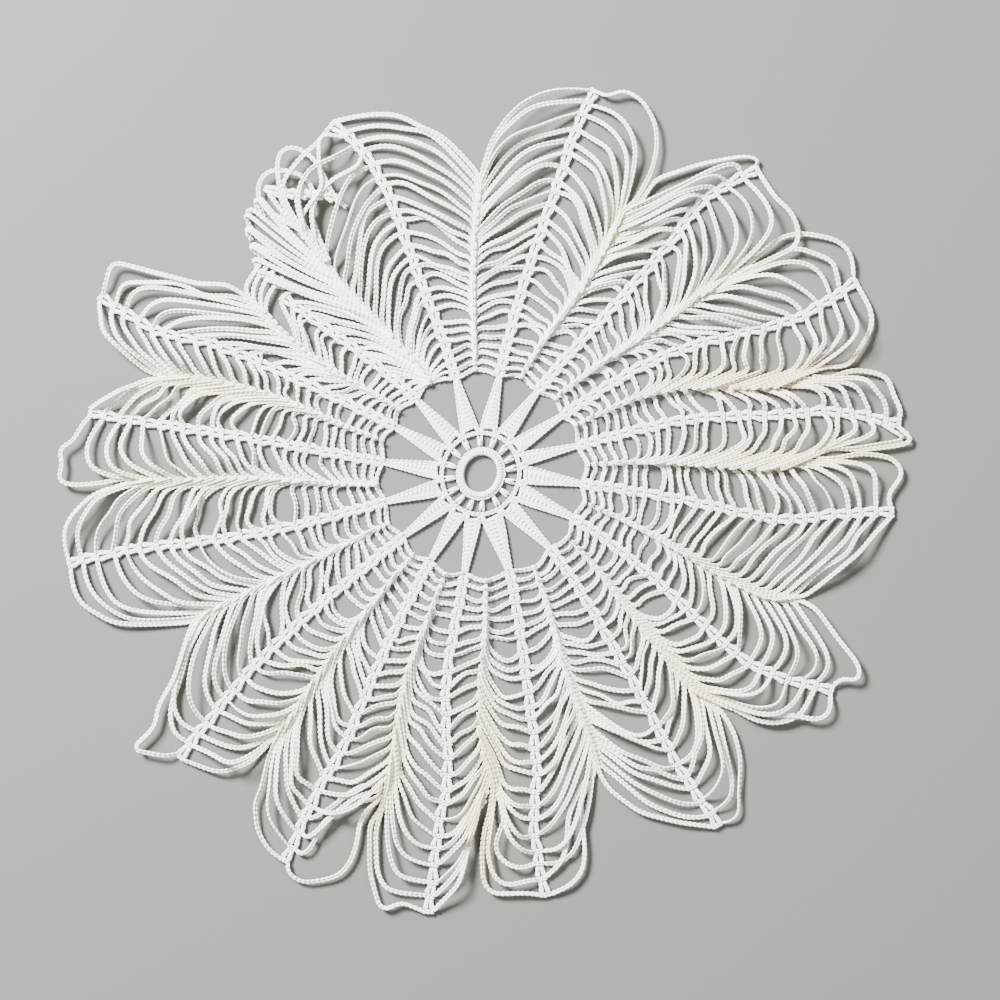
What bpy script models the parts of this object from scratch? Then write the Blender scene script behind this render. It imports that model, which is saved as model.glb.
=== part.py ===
"""Crocheted lace doily lying flat: one closed sheet, about 255 x 250 mm, with its net cut through.

The piece is worked in the round from the middle out: a padded ring, a round of posts, sixteen
pointed spokes, and sixteen petals.  In each petal a plaited rib carries chain arcs to both sides,
and the arcs are gathered into a raised bundle in the valley between two petals.  The net is close
near the middle and stays uncut there.  Further out every second chain arc is a bar, and the gaps
between the bars are cut through.

Lengths in the tables are millimetres and angles are degrees, counter-clockwise from +X, both
about the middle of the ring.
"""
import math
from collections import namedtuple

import bmesh
import bpy

MM = 0.001

# Driving dimensions (mm)
RING_AT = (-0.8, 7.7)           # middle of the ring, measured from the middle of the whole sheet
HOLE_WIDTH = 9.9
HOLE_LENGTH = 10.8
HOLE_LEAN = 70.0                # direction of the long way of the egg-shaped hole, degrees
RING_RADIUS = 8.0
POST_RADIUS = 12.4
FOOT_RADIUS = 15.0              # foot of the spokes and bottom of the openings between them
SPOKE_MIDDLE = 22.0
ROOT_RADIUS = 30.0              # spoke points, where the ribs start
FIRST_STITCH = 32.0             # first stitch in a valley
LAST_ROUND = 24.0
RIB_HALF_WIDTH = 1.6
RIB_STEP = 2.0                  # the rib's direction is taken over this length
SPOKE_FOOT_GAP = 1.4            # width of an opening at its bottom
SPOKE_HALF_POINT = 0.9
VALLEY_HALF_FOOT = 0.7
NOTCH_HALF_WIDTH = 0.6          # a bundle narrows to this where its last chains part
BUNDLE_TAPER = 26.0             # over this length
CHAIN = 1.65                    # thickness of a chain arc
RIB_HEIGHT = 2.4
RING_HEIGHT = 2.7
POST_HEIGHT = 1.5
SPOKE_HEIGHT = 1.7
LOOP_LIFT = 1.8                 # how far the outer chains arch up off the surface

# Bars that stand for the chain arcs: round number, straight lengths along it
BARS = ((8, 3), (10, 2), (12, 2), (14, 3), (16, 3), (18, 3), (20, 3), (22, 4), (24, 6))
CLOSED_ROUNDS = (0.0, 4.0)      # rounds drawn in the close inner net, which stays uncut
INNER_LENGTHS = 3
BAR_HALF_WIDTH = 1.0
WIDEST_BAR = 0.62               # where the arcs crowd, a bar takes at most this much each way, in rounds
NARROWEST_BAR = 0.22
MERGE_AT = 0.86                 # share of an outer arc that lies free before it joins the bundle
ROUND_GROWTH = 1.12             # the rounds get wider towards the edge
SHOULDER_ROUND = 13.0           # from here out the arcs take the shape of the petal's shoulders
MIDDLE_SHOULDER = 0.45          # place of an inner arc's shoulder between valley and rib
LEAST_SHOULDER = 0.15           # the last arc's shoulder keeps this far from the valley
NEST_STEP = 0.055               # and each round further in lies this much inside it
UNEVEN = 0.5                    # how far the rounds stray from even spacing
FOLDED = 6                      # this petal is turned under along its edge, so its left side ends at
FOLD_ROUND = 18                 # this round, and the chains of its right side lie close, uncut,
FOLD_LENGTHS = 2                # in this many straight lengths

RIB_STATIONS = (30.0, 60.0, 90.0, 105.0)
VALLEY_STATIONS = (33.0, 60.0, 90.0)

# One row a petal: angle of its rib at each rib station, angle and reach of its tip.  Then for its
# left and its right side the place of the shoulder that its last chain turns round, and how
# steeply the chains drop to the bundle (1 is even).
Petal = namedtuple("Petal", "root inner outer late tip reach left right")
Side = namedtuple("Side", "angle reach drop")
PETALS = (
    Petal(-5.0, -7.0, -8.5, -6.5, -5.0, 123.0, Side(3.0, 124.0, 1.0), Side(-13.0, 116.0, 1.0)),
    Petal(17.0, 15.5, 11.5, 10.5, 8.2, 126.0, Side(14.5, 126.0, 1.0), Side(4.5, 130.0, 1.0)),
    Petal(36.5, 34.0, 28.5, 26.5, 27.3, 126.0, Side(36.0, 130.0, 1.0), Side(19.0, 126.0, 1.0)),
    Petal(56.4, 52.3, 51.0, 51.2, 48.0, 123.0, Side(51.0, 125.0, 1.0), Side(38.5, 123.0, 1.0)),
    Petal(80.0, 77.5, 75.4, 74.9, 73.7, 120.0, Side(87.5, 113.0, 1.0), Side(63.5, 124.0, 1.0)),
    Petal(105.0, 107.5, 108.5, 110.5, 113.0, 114.0, Side(123.0, 115.0, 1.2),
          Side(100.0, 114.0, 1.0)),
    Petal(131.0, 136.0, 138.0, 132.5, 130.5, 108.0, Side(136.5, 108.0, 1.0),
          Side(130.0, 107.0, 1.9)),
    Petal(151.0, 152.5, 154.0, 156.0, 155.0, 126.0, Side(160.5, 121.0, 1.0),
          Side(149.5, 130.0, 1.0)),
    Petal(172.5, 171.0, 171.0, 171.0, 171.0, 118.5, Side(180.5, 127.0, 1.3),
          Side(167.5, 113.0, 1.0)),
    Petal(195.5, 195.0, 193.0, 192.0, 192.0, 126.6, Side(201.0, 130.0, 1.0),
          Side(183.5, 127.0, 1.0)),
    Petal(218.0, 218.5, 220.0, 221.5, 223.0, 123.6, Side(231.0, 118.5, 1.0),
          Side(217.5, 131.0, 1.1)),
    Petal(239.0, 241.0, 243.0, 242.5, 243.0, 129.6, Side(251.5, 132.0, 1.0),
          Side(236.5, 127.5, 1.1)),
    Petal(260.0, 260.0, 263.5, 263.0, 263.0, 132.0, Side(268.0, 125.0, 1.0),
          Side(254.5, 135.0, 1.0)),
    Petal(286.0, 282.5, 280.5, 278.5, 278.5, 127.0, Side(285.5, 127.0, 1.0),
          Side(271.0, 128.0, 1.0)),
    Petal(313.0, 308.0, 305.0, 304.0, 304.0, 126.6, Side(308.5, 128.0, 1.0),
          Side(297.0, 119.0, 1.0)),
    Petal(335.0, 329.0, 325.0, 325.5, 328.5, 123.0, Side(333.0, 127.0, 1.0),
          Side(319.0, 125.0, 1.0)),
)

# One row a valley, on the left of the petal of the same row: angle of the opening's bottom at the
# spoke feet, angles at the valley stations, angle and reach of the notch, then the half width
# and the height of the bundle of chains.
Valley = namedtuple("Valley", "foot root inner outer notch reach half_width height")
VALLEYS = (
    Valley(12.5, 5.5, 4.5, 3.0, 3.5, 105.0, 3.4, 4.0),
    Valley(29.5, 28.0, 24.5, 18.5, 16.5, 108.0, 3.0, 3.6),
    Valley(49.5, 46.0, 41.0, 39.0, 38.5, 96.0, 2.4, 3.2),
    Valley(71.0, 68.0, 62.5, 61.0, 60.3, 93.0, 2.0, 3.0),
    Valley(93.0, 93.5, 92.5, 90.3, 90.3, 90.0, 1.8, 3.0),
    Valley(117.5, 119.5, 125.0, 127.0, 128.0, 98.0, 2.4, 3.6),
    Valley(140.0, 142.0, 144.5, 145.0, 142.5, 88.0, 3.0, 3.8),
    Valley(163.0, 161.0, 159.5, 161.5, 163.5, 105.0, 2.6, 3.4),
    Valley(185.5, 185.0, 182.0, 180.7, 181.0, 108.0, 2.6, 3.4),
    Valley(207.5, 207.0, 206.5, 206.5, 207.0, 97.5, 2.2, 3.2),
    Valley(228.0, 229.0, 229.5, 231.0, 232.0, 103.5, 2.6, 3.4),
    Valley(248.5, 249.5, 249.5, 253.0, 252.5, 105.0, 2.6, 3.4),
    Valley(269.5, 272.0, 270.5, 271.5, 270.0, 102.0, 3.4, 4.0),
    Valley(297.5, 299.0, 294.0, 291.5, 291.0, 96.0, 2.6, 3.4),
    Valley(322.0, 323.5, 318.0, 314.5, 316.0, 102.0, 2.6, 3.4),
    Valley(348.0, 344.5, 339.5, 337.0, 339.0, 103.5, 2.8, 3.6),
)
COUNT = len(PETALS)
LEFT, RIGHT = 1, -1


def smooth(value):
    """Ease from 0 to 1 while value runs from 0 to 1."""
    value = min(max(value, 0.0), 1.0)
    return value * value * (3.0 - 2.0 * value)


def mix(start, end, part):
    return start + (end - start) * part


def near(angle, other):
    """The same direction as angle, within half a turn of other."""
    return other + (angle - other + 180.0) % 360.0 - 180.0


def polar(angle, radius):
    turn = math.radians(angle)
    return (radius * math.cos(turn), radius * math.sin(turn))


def through(stations, values, place):
    """A smooth curve through the values at the stations, level before the first and past the last."""
    if place <= stations[0]:
        return values[0]
    if place >= stations[-1]:
        return values[-1]
    last = len(stations) - 1
    left = max(index for index in range(last) if stations[index] <= place)

    def slope(index):
        before, after = max(index - 1, 0), min(index + 1, last)
        return (values[after] - values[before]) / (stations[after] - stations[before])

    span = stations[left + 1] - stations[left]
    t = (place - stations[left]) / span
    rise = slope(left) * span, slope(left + 1) * span
    return (mix(values[left], values[left + 1], t * t * (3.0 - 2.0 * t))
            + (t ** 3 - 2.0 * t * t + t) * rise[0] + (t ** 3 - t * t) * rise[1])


def rib_angle(petal, radius):
    row = PETALS[petal]
    stations = RIB_STATIONS + (row.reach,)
    return through(stations, (row.root, row.inner, row.outer, row.late, row.tip), radius)


def valley_angle(valley, radius):
    row = VALLEYS[valley % COUNT]
    inner = [(at, angle) for at, angle in zip(VALLEY_STATIONS, (row.root, row.inner, row.outer))
             if at < row.reach - 1.0]
    stations = [at for at, _ in inner] + [row.reach]
    return through(stations, [angle for _, angle in inner] + [row.notch], radius)


def rib_radius(petal, turn):
    """How far out a round meets the petal's rib."""
    even = mix(ROOT_RADIUS, PETALS[petal].reach, (max(turn, 0.0) / LAST_ROUND) ** ROUND_GROWTH)
    fade = smooth(turn / 6.0) * smooth((LAST_ROUND + 2.0 - turn) / 4.0)
    return even + UNEVEN * fade * math.sin(1.9 * turn + 2.4 * petal)


def side_of(petal, side):
    return PETALS[petal].left if side == LEFT else PETALS[petal].right


def release_radius(petal, side, turn):
    """How far out a round's chain leaves the bundle in the valley."""
    row = VALLEYS[valley_of(petal, side)]
    return mix(FIRST_STITCH, row.reach, (max(turn, 0.0) / LAST_ROUND) ** side_of(petal, side).drop)


def bundle_half_width(valley, radius):
    """Half the width of the gathered chains: they spread from the first stitch, then part."""
    row = VALLEYS[valley % COUNT]
    spread = mix(VALLEY_HALF_FOOT, row.half_width, smooth((radius - 38.0) / 40.0))
    return mix(spread, NOTCH_HALF_WIDTH, smooth((radius - row.reach) / BUNDLE_TAPER + 1.0))


def bundle_height(valley, radius):
    """Height of the gathered chains, which lie two or three deep but part at the notch."""
    row = VALLEYS[valley % COUNT]
    piled = mix(CHAIN, row.height, smooth((radius - 45.0) / 35.0))
    return mix(piled, 1.3 * CHAIN, smooth((radius - row.reach) / BUNDLE_TAPER + 1.0))


def valley_of(petal, side):
    """The valley on that side of the petal."""
    return petal if side == LEFT else (petal - 1) % COUNT


def bundle_edge(petal, side, turn):
    """Where a round's chain leaves the bundle, on the side of the given petal."""
    valley = valley_of(petal, side)
    radius = release_radius(petal, side, turn)
    away = math.degrees(bundle_half_width(valley, radius) / radius)
    angle = near(valley_angle(valley, radius), PETALS[petal].outer)
    return angle - side * away, radius


def shoulder(petal, side, turn):
    """The corner that the arc of a round turns round on its way from rib to valley."""
    row, last = PETALS[petal], side_of(petal, side)
    notch, _ = bundle_edge(petal, side, LAST_ROUND)
    across_last = max((near(last.angle, row.tip) - notch) / (row.tip - notch), LEAST_SHOULDER)
    part = smooth((turn - SHOULDER_ROUND) / (LAST_ROUND - SHOULDER_ROUND))
    nested = min(across_last + NEST_STEP * (LAST_ROUND - turn), MIDDLE_SHOULDER)
    across = max(mix(MIDDLE_SHOULDER, across_last, part), nested)
    radius = rib_radius(petal, turn)
    foot, _ = bundle_edge(petal, side, turn)
    angle = mix(foot, rib_angle(petal, radius), across)
    return polar(angle, radius + (last.reach - row.reach) * part), part


def arc_point(petal, side, turn, along):
    """A point of the round's chain arc: along runs from 0 on the rib to 1 at the bundle."""
    radius = rib_radius(petal, turn)
    start = polar(rib_angle(petal, radius), radius)
    end = polar(*bundle_edge(petal, side, turn))
    corner, part = shoulder(petal, side, turn)
    weights = ((1 - along) ** 3, 3 * (1 - along) ** 2 * along, 3 * (1 - along) * along ** 2, along ** 3)
    reach_out, reach_in = mix(0.75, 0.9, part), mix(0.6, 0.75, part)
    point = []
    for axis in (0, 1):
        handles = (start[axis], mix(start[axis], corner[axis], reach_out),
                   mix(end[axis], corner[axis], reach_in), end[axis])
        point.append(sum(weight * handle for weight, handle in zip(weights, handles)))
    return point[0], point[1]


def rib_edge(petal, side, turn):
    """A point on the rib's side at the given round."""
    radius = rib_radius(petal, turn)
    half = mix(SPOKE_HALF_POINT, RIB_HALF_WIDTH, smooth(turn / 3.0))
    seen = min(radius, PETALS[petal].reach)
    inner = polar(rib_angle(petal, seen - RIB_STEP), seen - RIB_STEP)
    outer = polar(rib_angle(petal, seen), seen)
    along = (outer[0] - inner[0], outer[1] - inner[1])
    length = math.hypot(*along)
    middle = polar(rib_angle(petal, radius), radius)
    return (middle[0] - side * half * along[1] / length, middle[1] + side * half * along[0] / length)


class Sheet:
    """The flat face that the doily rests on, with the thickness of the work above each point."""

    def __init__(self):
        self.mesh = bmesh.new()
        self.thickness = self.mesh.verts.layers.float.new("thickness")
        self.known = {}

    def corner(self, key, place, thick, lift=0.0):
        """The vertex with this key, made at the place in mm when it is first asked for."""
        if key not in self.known:
            at = ((place[0] + RING_AT[0]) * MM, (place[1] + RING_AT[1]) * MM, lift * MM)
            self.known[key] = self.mesh.verts.new(at)
            self.known[key][self.thickness] = thick
        return self.known[key]

    def strip(self, right, left):
        """Fill between two rows of vertices that run the same way, the left row on the left."""
        for index in range(len(right) - 1):
            ring = (right[index], right[index + 1], left[index + 1], left[index])
            if len(set(ring)) == 4:
                self.mesh.faces.new(ring)


def rib_corner(sheet, petal, side, turn, sign):
    """The vertex where an arc, or the inner or outer edge of its bar, meets the rib."""
    half = BAR_HALF_WIDTH / (rib_radius(petal, turn + 0.5) - rib_radius(petal, turn - 0.5)) if sign else 0.0
    return sheet.corner(("rib", petal, side, turn, sign), rib_edge(petal, side, turn + sign * half),
                        mix(SPOKE_HEIGHT, RIB_HEIGHT, smooth(turn / 6.0)))


def merge_at(turn):
    """How far along an arc it joins the bundle."""
    return mix(1.0, MERGE_AT, smooth((turn - 8.0) / 12.0))


def half_bar(petal, side, turn, along):
    """Half the width of a bar there, in rounds: narrower in millimetres where the arcs crowd."""
    inner, outer = (arc_point(petal, side, turn + step, along) for step in (-0.5, 0.5))
    before, after = (arc_point(petal, side, turn, along + step) for step in (-0.02, 0.02))
    run = (after[0] - before[0], after[1] - before[1])
    across = (outer[0] - inner[0]) * run[1] - (outer[1] - inner[1]) * run[0]
    pitch = abs(across) / math.hypot(*run)
    return min(max(BAR_HALF_WIDTH / pitch, NARROWEST_BAR), WIDEST_BAR)


def edge_turn(petal, side, turn, sign, along):
    """The round, with a fraction, that the inner or outer edge of a bar follows at a point."""
    return turn + sign * half_bar(petal, side, turn, along) if sign else turn


def bundle_corner(sheet, petal, side, turn, sign):
    """The vertex where an arc, or the inner or outer edge of its bar, joins the bundle."""
    along = merge_at(turn)
    place = arc_point(petal, side, edge_turn(petal, side, turn, sign, along), along)
    height = bundle_height(valley_of(petal, side), math.hypot(*place))
    return sheet.corner(("bundle", petal, side, turn, sign), place, height)


def closed_up(petal, side):
    """Whether the chains of this half petal lie side by side."""
    return petal == FOLDED and side == RIGHT


def arc_row(sheet, petal, side, turn, sign, lengths):
    """The vertices along one side of an arc, from the rib to the bundle."""
    lengths = FOLD_LENGTHS if closed_up(petal, side) else lengths
    row = [rib_corner(sheet, petal, side, turn, sign)]
    for index in range(1, lengths):
        share = index / lengths
        along = share * merge_at(turn)
        place = arc_point(petal, side, edge_turn(petal, side, turn, sign, along), along)
        lift = LOOP_LIFT * math.sin(math.pi * share) * smooth((turn - 10.0) / 14.0)
        row.append(sheet.corner(("arc", petal, side, turn, sign, index), place, CHAIN, lift))
    row.append(bundle_corner(sheet, petal, side, turn, sign))
    return row


def net_rows():
    """The rows of the net from the spokes out: round, side of its bar, number of lengths, filled."""
    rows = [(turn, 0, INNER_LENGTHS, True) for turn in CLOSED_ROUNDS]
    first_round, first_lengths = BARS[0]
    rows.append((first_round, 1, first_lengths, False))
    for turn, lengths in BARS[1:]:
        rows.append((turn, -1, lengths, True))
        rows.append((turn, 1, lengths, False))
    return rows


def build_net(sheet):
    """The ribs, the bundles and the arcs between them."""
    rows = net_rows()
    for petal in range(COUNT):
        arcs = {side: [arc_row(sheet, petal, side, turn, sign, lengths)
                       for turn, sign, lengths, _ in rows] for side in (LEFT, RIGHT)}
        neighbour = (petal + 1) % COUNT
        beside = [bundle_corner(sheet, neighbour, RIGHT, turn, sign) for turn, sign, _, _ in rows]
        sheet.strip([arc[0] for arc in arcs[RIGHT]], [arc[0] for arc in arcs[LEFT]])
        sheet.strip([arc[-1] for arc in arcs[LEFT]], beside)
        for index, (turn, _, _, filled) in enumerate(rows[:-1]):
            for side in (LEFT, RIGHT):
                folded_under = petal == FOLDED and side == LEFT and turn > FOLD_ROUND
                if (filled and not folded_under) or closed_up(petal, side):
                    fill_between(sheet, side, arcs[side][index], arcs[side][index + 1])


def fill_between(sheet, side, inner, outer):
    """Fill the net between two arcs of one half petal."""
    if side == LEFT:
        sheet.strip(outer, inner)
    else:
        sheet.strip(inner, outer)


def hole_radius(angle):
    """The egg-shaped edge of the middle hole."""
    turn = math.radians(angle - HOLE_LEAN)
    long, wide = HOLE_LENGTH / 2.0, HOLE_WIDTH / 2.0
    egg = 1.0 + 0.05 * math.cos(turn)
    return egg * long * wide / math.hypot(wide * math.cos(turn), long * math.sin(turn))


def build_middle(sheet):
    """The padded ring, the round of posts and the sixteen spokes."""
    foot_half = math.degrees(SPOKE_FOOT_GAP / 2.0 / FOOT_RADIUS)
    feet = []
    for petal in range(COUNT):
        first = near(VALLEYS[petal - 1].foot, PETALS[petal].root) + foot_half
        last = near(VALLEYS[petal].foot, PETALS[petal].root) - foot_half
        feet += [(petal, RIGHT, first), (petal, LEFT, last)]
    even = 360.0 / len(feet)
    start = PETALS[0].root - even / 2.0
    circles = (("hole", 0.0, None, 1.8), ("crest", 0.1, 6.6, RING_HEIGHT), ("ring", 0.3, RING_RADIUS, 2.0),
               ("posts", 0.8, POST_RADIUS, POST_HEIGHT), ("feet", 1.0, FOOT_RADIUS, SPOKE_HEIGHT))
    rows = []
    for name, lean, radius, thick in circles:
        row = []
        for index, (_, _, foot) in enumerate(feet):
            angle = mix(start + index * even, near(foot, start + index * even), lean)
            place = polar(angle, hole_radius(angle) if radius is None else radius)
            row.append(sheet.corner((name, index), place, thick))
        rows.append(row + row[:1])
    for inner, outer in zip(rows, rows[1:]):
        sheet.strip(outer, inner)
    for petal in range(COUNT):
        build_spoke(sheet, petal, rows[-1][2 * petal], rows[-1][2 * petal + 1])


def build_spoke(sheet, petal, right_foot, left_foot):
    """A wedge from the foot circle to the root of the rib."""
    sides = []
    for side, foot in ((RIGHT, right_foot), (LEFT, left_foot)):
        root = rib_edge(petal, side, 0.0)
        foot_at = (foot.co.x / MM - RING_AT[0], foot.co.y / MM - RING_AT[1])
        part = (SPOKE_MIDDLE - FOOT_RADIUS) / (ROOT_RADIUS - FOOT_RADIUS)
        place = (mix(foot_at[0], root[0], part), mix(foot_at[1], root[1], part))
        middle = sheet.corner(("spoke", petal, side), place, SPOKE_HEIGHT)
        sides.append([foot, middle, rib_corner(sheet, petal, side, CLOSED_ROUNDS[0], 0)])
    sheet.strip(sides[0], sides[1])


def cotton():
    """Off-white mercerised cotton."""
    material = bpy.data.materials.new("cotton")
    material.use_nodes = True
    shader = material.node_tree.nodes["Principled BSDF"]
    shader.inputs["Base Color"].default_value = (0.80, 0.78, 0.72, 1.0)
    shader.inputs["Roughness"].default_value = 0.85
    shader.inputs["Metallic"].default_value = 0.0
    return material


def build_doily(collection):
    """One object: the resting face thickened upwards, each point by its own amount."""
    sheet = Sheet()
    build_middle(sheet)
    build_net(sheet)
    thickest = max(vert[sheet.thickness] for vert in sheet.mesh.verts)
    weights = [vert[sheet.thickness] / thickest for vert in sheet.mesh.verts]
    mesh = bpy.data.meshes.new("doily")
    sheet.mesh.to_mesh(mesh)
    sheet.mesh.free()
    doily = bpy.data.objects.new("doily", mesh)
    collection.objects.link(doily)
    group = doily.vertex_groups.new(name="thickness")
    for index, weight in enumerate(weights):
        group.add([index], weight, "REPLACE")
    solidify = doily.modifiers.new("thickness", "SOLIDIFY")
    solidify.thickness = thickest * MM
    solidify.offset = 1.0
    solidify.vertex_group = group.name
    solidify.thickness_vertex_group = 0.0
    mesh.materials.append(cotton())
    return doily


def main():
    for item in list(bpy.data.objects):
        bpy.data.objects.remove(item)
    collection = bpy.data.collections.new("lace_doily")
    bpy.context.scene.collection.children.link(collection)
    build_doily(collection)


main()
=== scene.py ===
"""Looks of a crocheted lace doily that lies flat, with every chain, post and knot as worked thread.

The chart gives the route of each chain: sixteen petals, sixteen valleys and twenty-five rounds
about a padded ring and sixteen pointed spokes.  A route is dressed with stitches, and a stitch is
a few plump strokes of thread that overlap.  Lengths are millimetres and angles are degrees,
counter-clockwise from +X about the middle of the ring, until a mesh is written in metres.
"""

import logging
import math
from dataclasses import dataclass, field
from enum import Enum
from typing import Sequence

import bpy
import numpy as np
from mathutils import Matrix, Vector


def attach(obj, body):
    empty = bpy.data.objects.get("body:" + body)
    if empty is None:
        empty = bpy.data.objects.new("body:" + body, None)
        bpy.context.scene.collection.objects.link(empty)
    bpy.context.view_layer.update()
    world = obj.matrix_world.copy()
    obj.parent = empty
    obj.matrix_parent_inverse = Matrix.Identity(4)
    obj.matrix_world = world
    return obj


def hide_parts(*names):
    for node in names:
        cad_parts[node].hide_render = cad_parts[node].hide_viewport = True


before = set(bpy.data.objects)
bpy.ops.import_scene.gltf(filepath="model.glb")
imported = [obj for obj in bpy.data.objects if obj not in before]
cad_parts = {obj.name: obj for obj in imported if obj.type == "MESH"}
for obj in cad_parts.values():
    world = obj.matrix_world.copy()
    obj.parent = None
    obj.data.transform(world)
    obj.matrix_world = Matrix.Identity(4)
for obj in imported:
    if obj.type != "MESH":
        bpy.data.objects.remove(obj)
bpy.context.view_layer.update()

LOG = logging.getLogger("doily")
MM = 0.001
NODE = "doily"
RING_AT = np.array((-0.8, 7.7, 0.0))    # middle of the ring in the frame
UP = np.array((0.0, 0.0, 1.0))
LEVEL = np.array((1.0, 1.0, 0.0))       # a vector times this one lies level


class Side(Enum):
    """The two halves of a petal, as seen from the middle of the doily."""

    LEFT = 1
    RIGHT = -1


LEFT, RIGHT = Side


class Loft(Enum):
    """How far the middle of a chain is lifted off the table, in millimetres."""

    LYING = 0.0
    LOOSE = 0.48
    FREE = 3.4


@dataclass(frozen=True)
class Corner:
    """The shoulder that the last chain of a half petal turns round."""

    angle: float
    reach: float                # its radius
    drop: float = 1.0           # the higher, the nearer to the middle the half's chains leave their valley


@dataclass(frozen=True)
class Petal:
    """One petal: the angle of its rib at each of the chart's stations, its tip, and its two shoulders."""

    root: float
    inner: float
    outer: float
    late: float
    tip: float
    reach: float                # radius of the tip
    left: Corner
    right: Corner


@dataclass(frozen=True)
class Valley:
    """The valley on the left of the petal of the same row, where the chains are gathered.

    The next petal's chains turn down into a band that lies over the ends of this petal's chains.
    """

    foot: float                 # angle of the post between the two spokes
    root: float                 # angles of the middle line at the chart's stations
    inner: float
    outer: float
    notch: float
    reach: float                # radius of the notch
    half_width: float           # of the band
    height: float               # of the band's upper edge


PETALS = (
    Petal(-5.0, -7.0, -8.5, -6.5, -5.0, 123.0, Corner(3.5, 124.0), Corner(-13.0, 116.0)),
    Petal(17.0, 15.5, 11.5, 10.5, 7.0, 126.0, Corner(14.5, 126.0), Corner(4.5, 130.0)),
    Petal(36.5, 34.0, 28.5, 26.5, 27.3, 126.0, Corner(36.0, 130.0), Corner(19.0, 126.0)),
    Petal(56.4, 52.3, 51.0, 51.2, 48.0, 123.0, Corner(51.0, 125.0), Corner(37.5, 123.0)),
    Petal(80.0, 77.5, 75.4, 74.9, 73.7, 120.0, Corner(87.5, 113.0), Corner(63.0, 123.0)),
    Petal(105.0, 107.5, 108.5, 110.5, 113.0, 114.0, Corner(122.0, 115.0, 1.8), Corner(100.0, 114.0)),
    Petal(131.0, 136.0, 138.0, 132.5, 130.5, 108.0, Corner(136.5, 108.0), Corner(130.0, 107.0, 2.7)),
    Petal(151.0, 152.5, 154.0, 156.0, 155.0, 126.0, Corner(160.5, 121.0), Corner(149.5, 130.0)),
    Petal(172.5, 171.0, 171.0, 171.0, 171.0, 118.5, Corner(180.5, 127.0, 1.3), Corner(167.5, 113.0)),
    Petal(195.5, 195.0, 193.0, 192.0, 192.0, 126.6, Corner(201.0, 130.0), Corner(183.5, 127.0)),
    Petal(218.0, 218.5, 220.0, 221.5, 223.0, 123.6, Corner(231.0, 118.5), Corner(217.5, 131.0, 1.1)),
    Petal(239.0, 241.0, 243.0, 242.5, 243.0, 129.6, Corner(251.5, 132.0), Corner(236.5, 127.5, 1.1)),
    Petal(260.0, 260.0, 263.5, 263.0, 263.0, 132.0, Corner(268.0, 125.0), Corner(254.5, 135.0)),
    Petal(286.0, 282.5, 280.5, 278.5, 278.5, 127.0, Corner(285.5, 127.0), Corner(270.5, 128.0)),
    Petal(313.0, 308.0, 305.0, 304.0, 304.0, 126.6, Corner(308.5, 128.0), Corner(297.0, 119.0)),
    Petal(335.0, 329.0, 325.0, 325.5, 328.5, 123.0, Corner(333.0, 127.0), Corner(319.0, 125.0)),
)
VALLEYS = (
    Valley(12.5, 5.5, 4.4, 2.6, 3.5, 105.0, 2.8, 4.0),
    Valley(29.5, 28.0, 26.0, 18.5, 16.5, 108.0, 3.1, 3.8),
    Valley(49.5, 46.0, 41.6, 39.4, 38.5, 96.0, 1.3, 3.4),
    Valley(71.0, 68.0, 62.5, 61.8, 60.3, 93.0, 1.2, 3.2),
    Valley(93.0, 93.5, 92.6, 90.3, 90.3, 90.0, 0.6, 2.8),
    Valley(117.5, 119.5, 125.2, 127.0, 128.0, 98.0, 0.5, 3.0),
    Valley(140.0, 142.0, 145.5, 145.2, 142.5, 88.0, 1.0, 3.4),
    Valley(163.0, 161.0, 160.1, 162.2, 163.5, 105.0, 2.2, 3.6),
    Valley(185.5, 185.0, 181.9, 181.5, 181.0, 108.0, 1.5, 3.4),
    Valley(207.5, 207.0, 207.0, 206.6, 207.0, 97.5, 0.3, 2.6),
    Valley(228.0, 229.0, 230.3, 232.0, 232.0, 103.5, 1.3, 3.2),
    Valley(248.5, 249.5, 250.0, 253.4, 252.5, 105.0, 2.1, 3.6),
    Valley(269.5, 272.0, 271.0, 272.2, 270.0, 102.0, 3.6, 4.0),
    Valley(297.5, 299.0, 294.0, 292.2, 291.0, 96.0, 1.2, 3.2),
    Valley(322.0, 323.5, 318.0, 315.3, 316.0, 102.0, 2.2, 3.6),
    Valley(348.0, 344.5, 339.9, 337.1, 339.0, 103.5, 1.4, 3.4),
)
COUNT = len(PETALS)


@dataclass(frozen=True)
class Stray:
    """A chain that has strayed from its round's even arc: points of its way from the rib."""

    petal: int
    side: Side
    turn: int
    way: tuple[tuple[float, float], ...]
    height: float = 2.0         # of its middle


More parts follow.
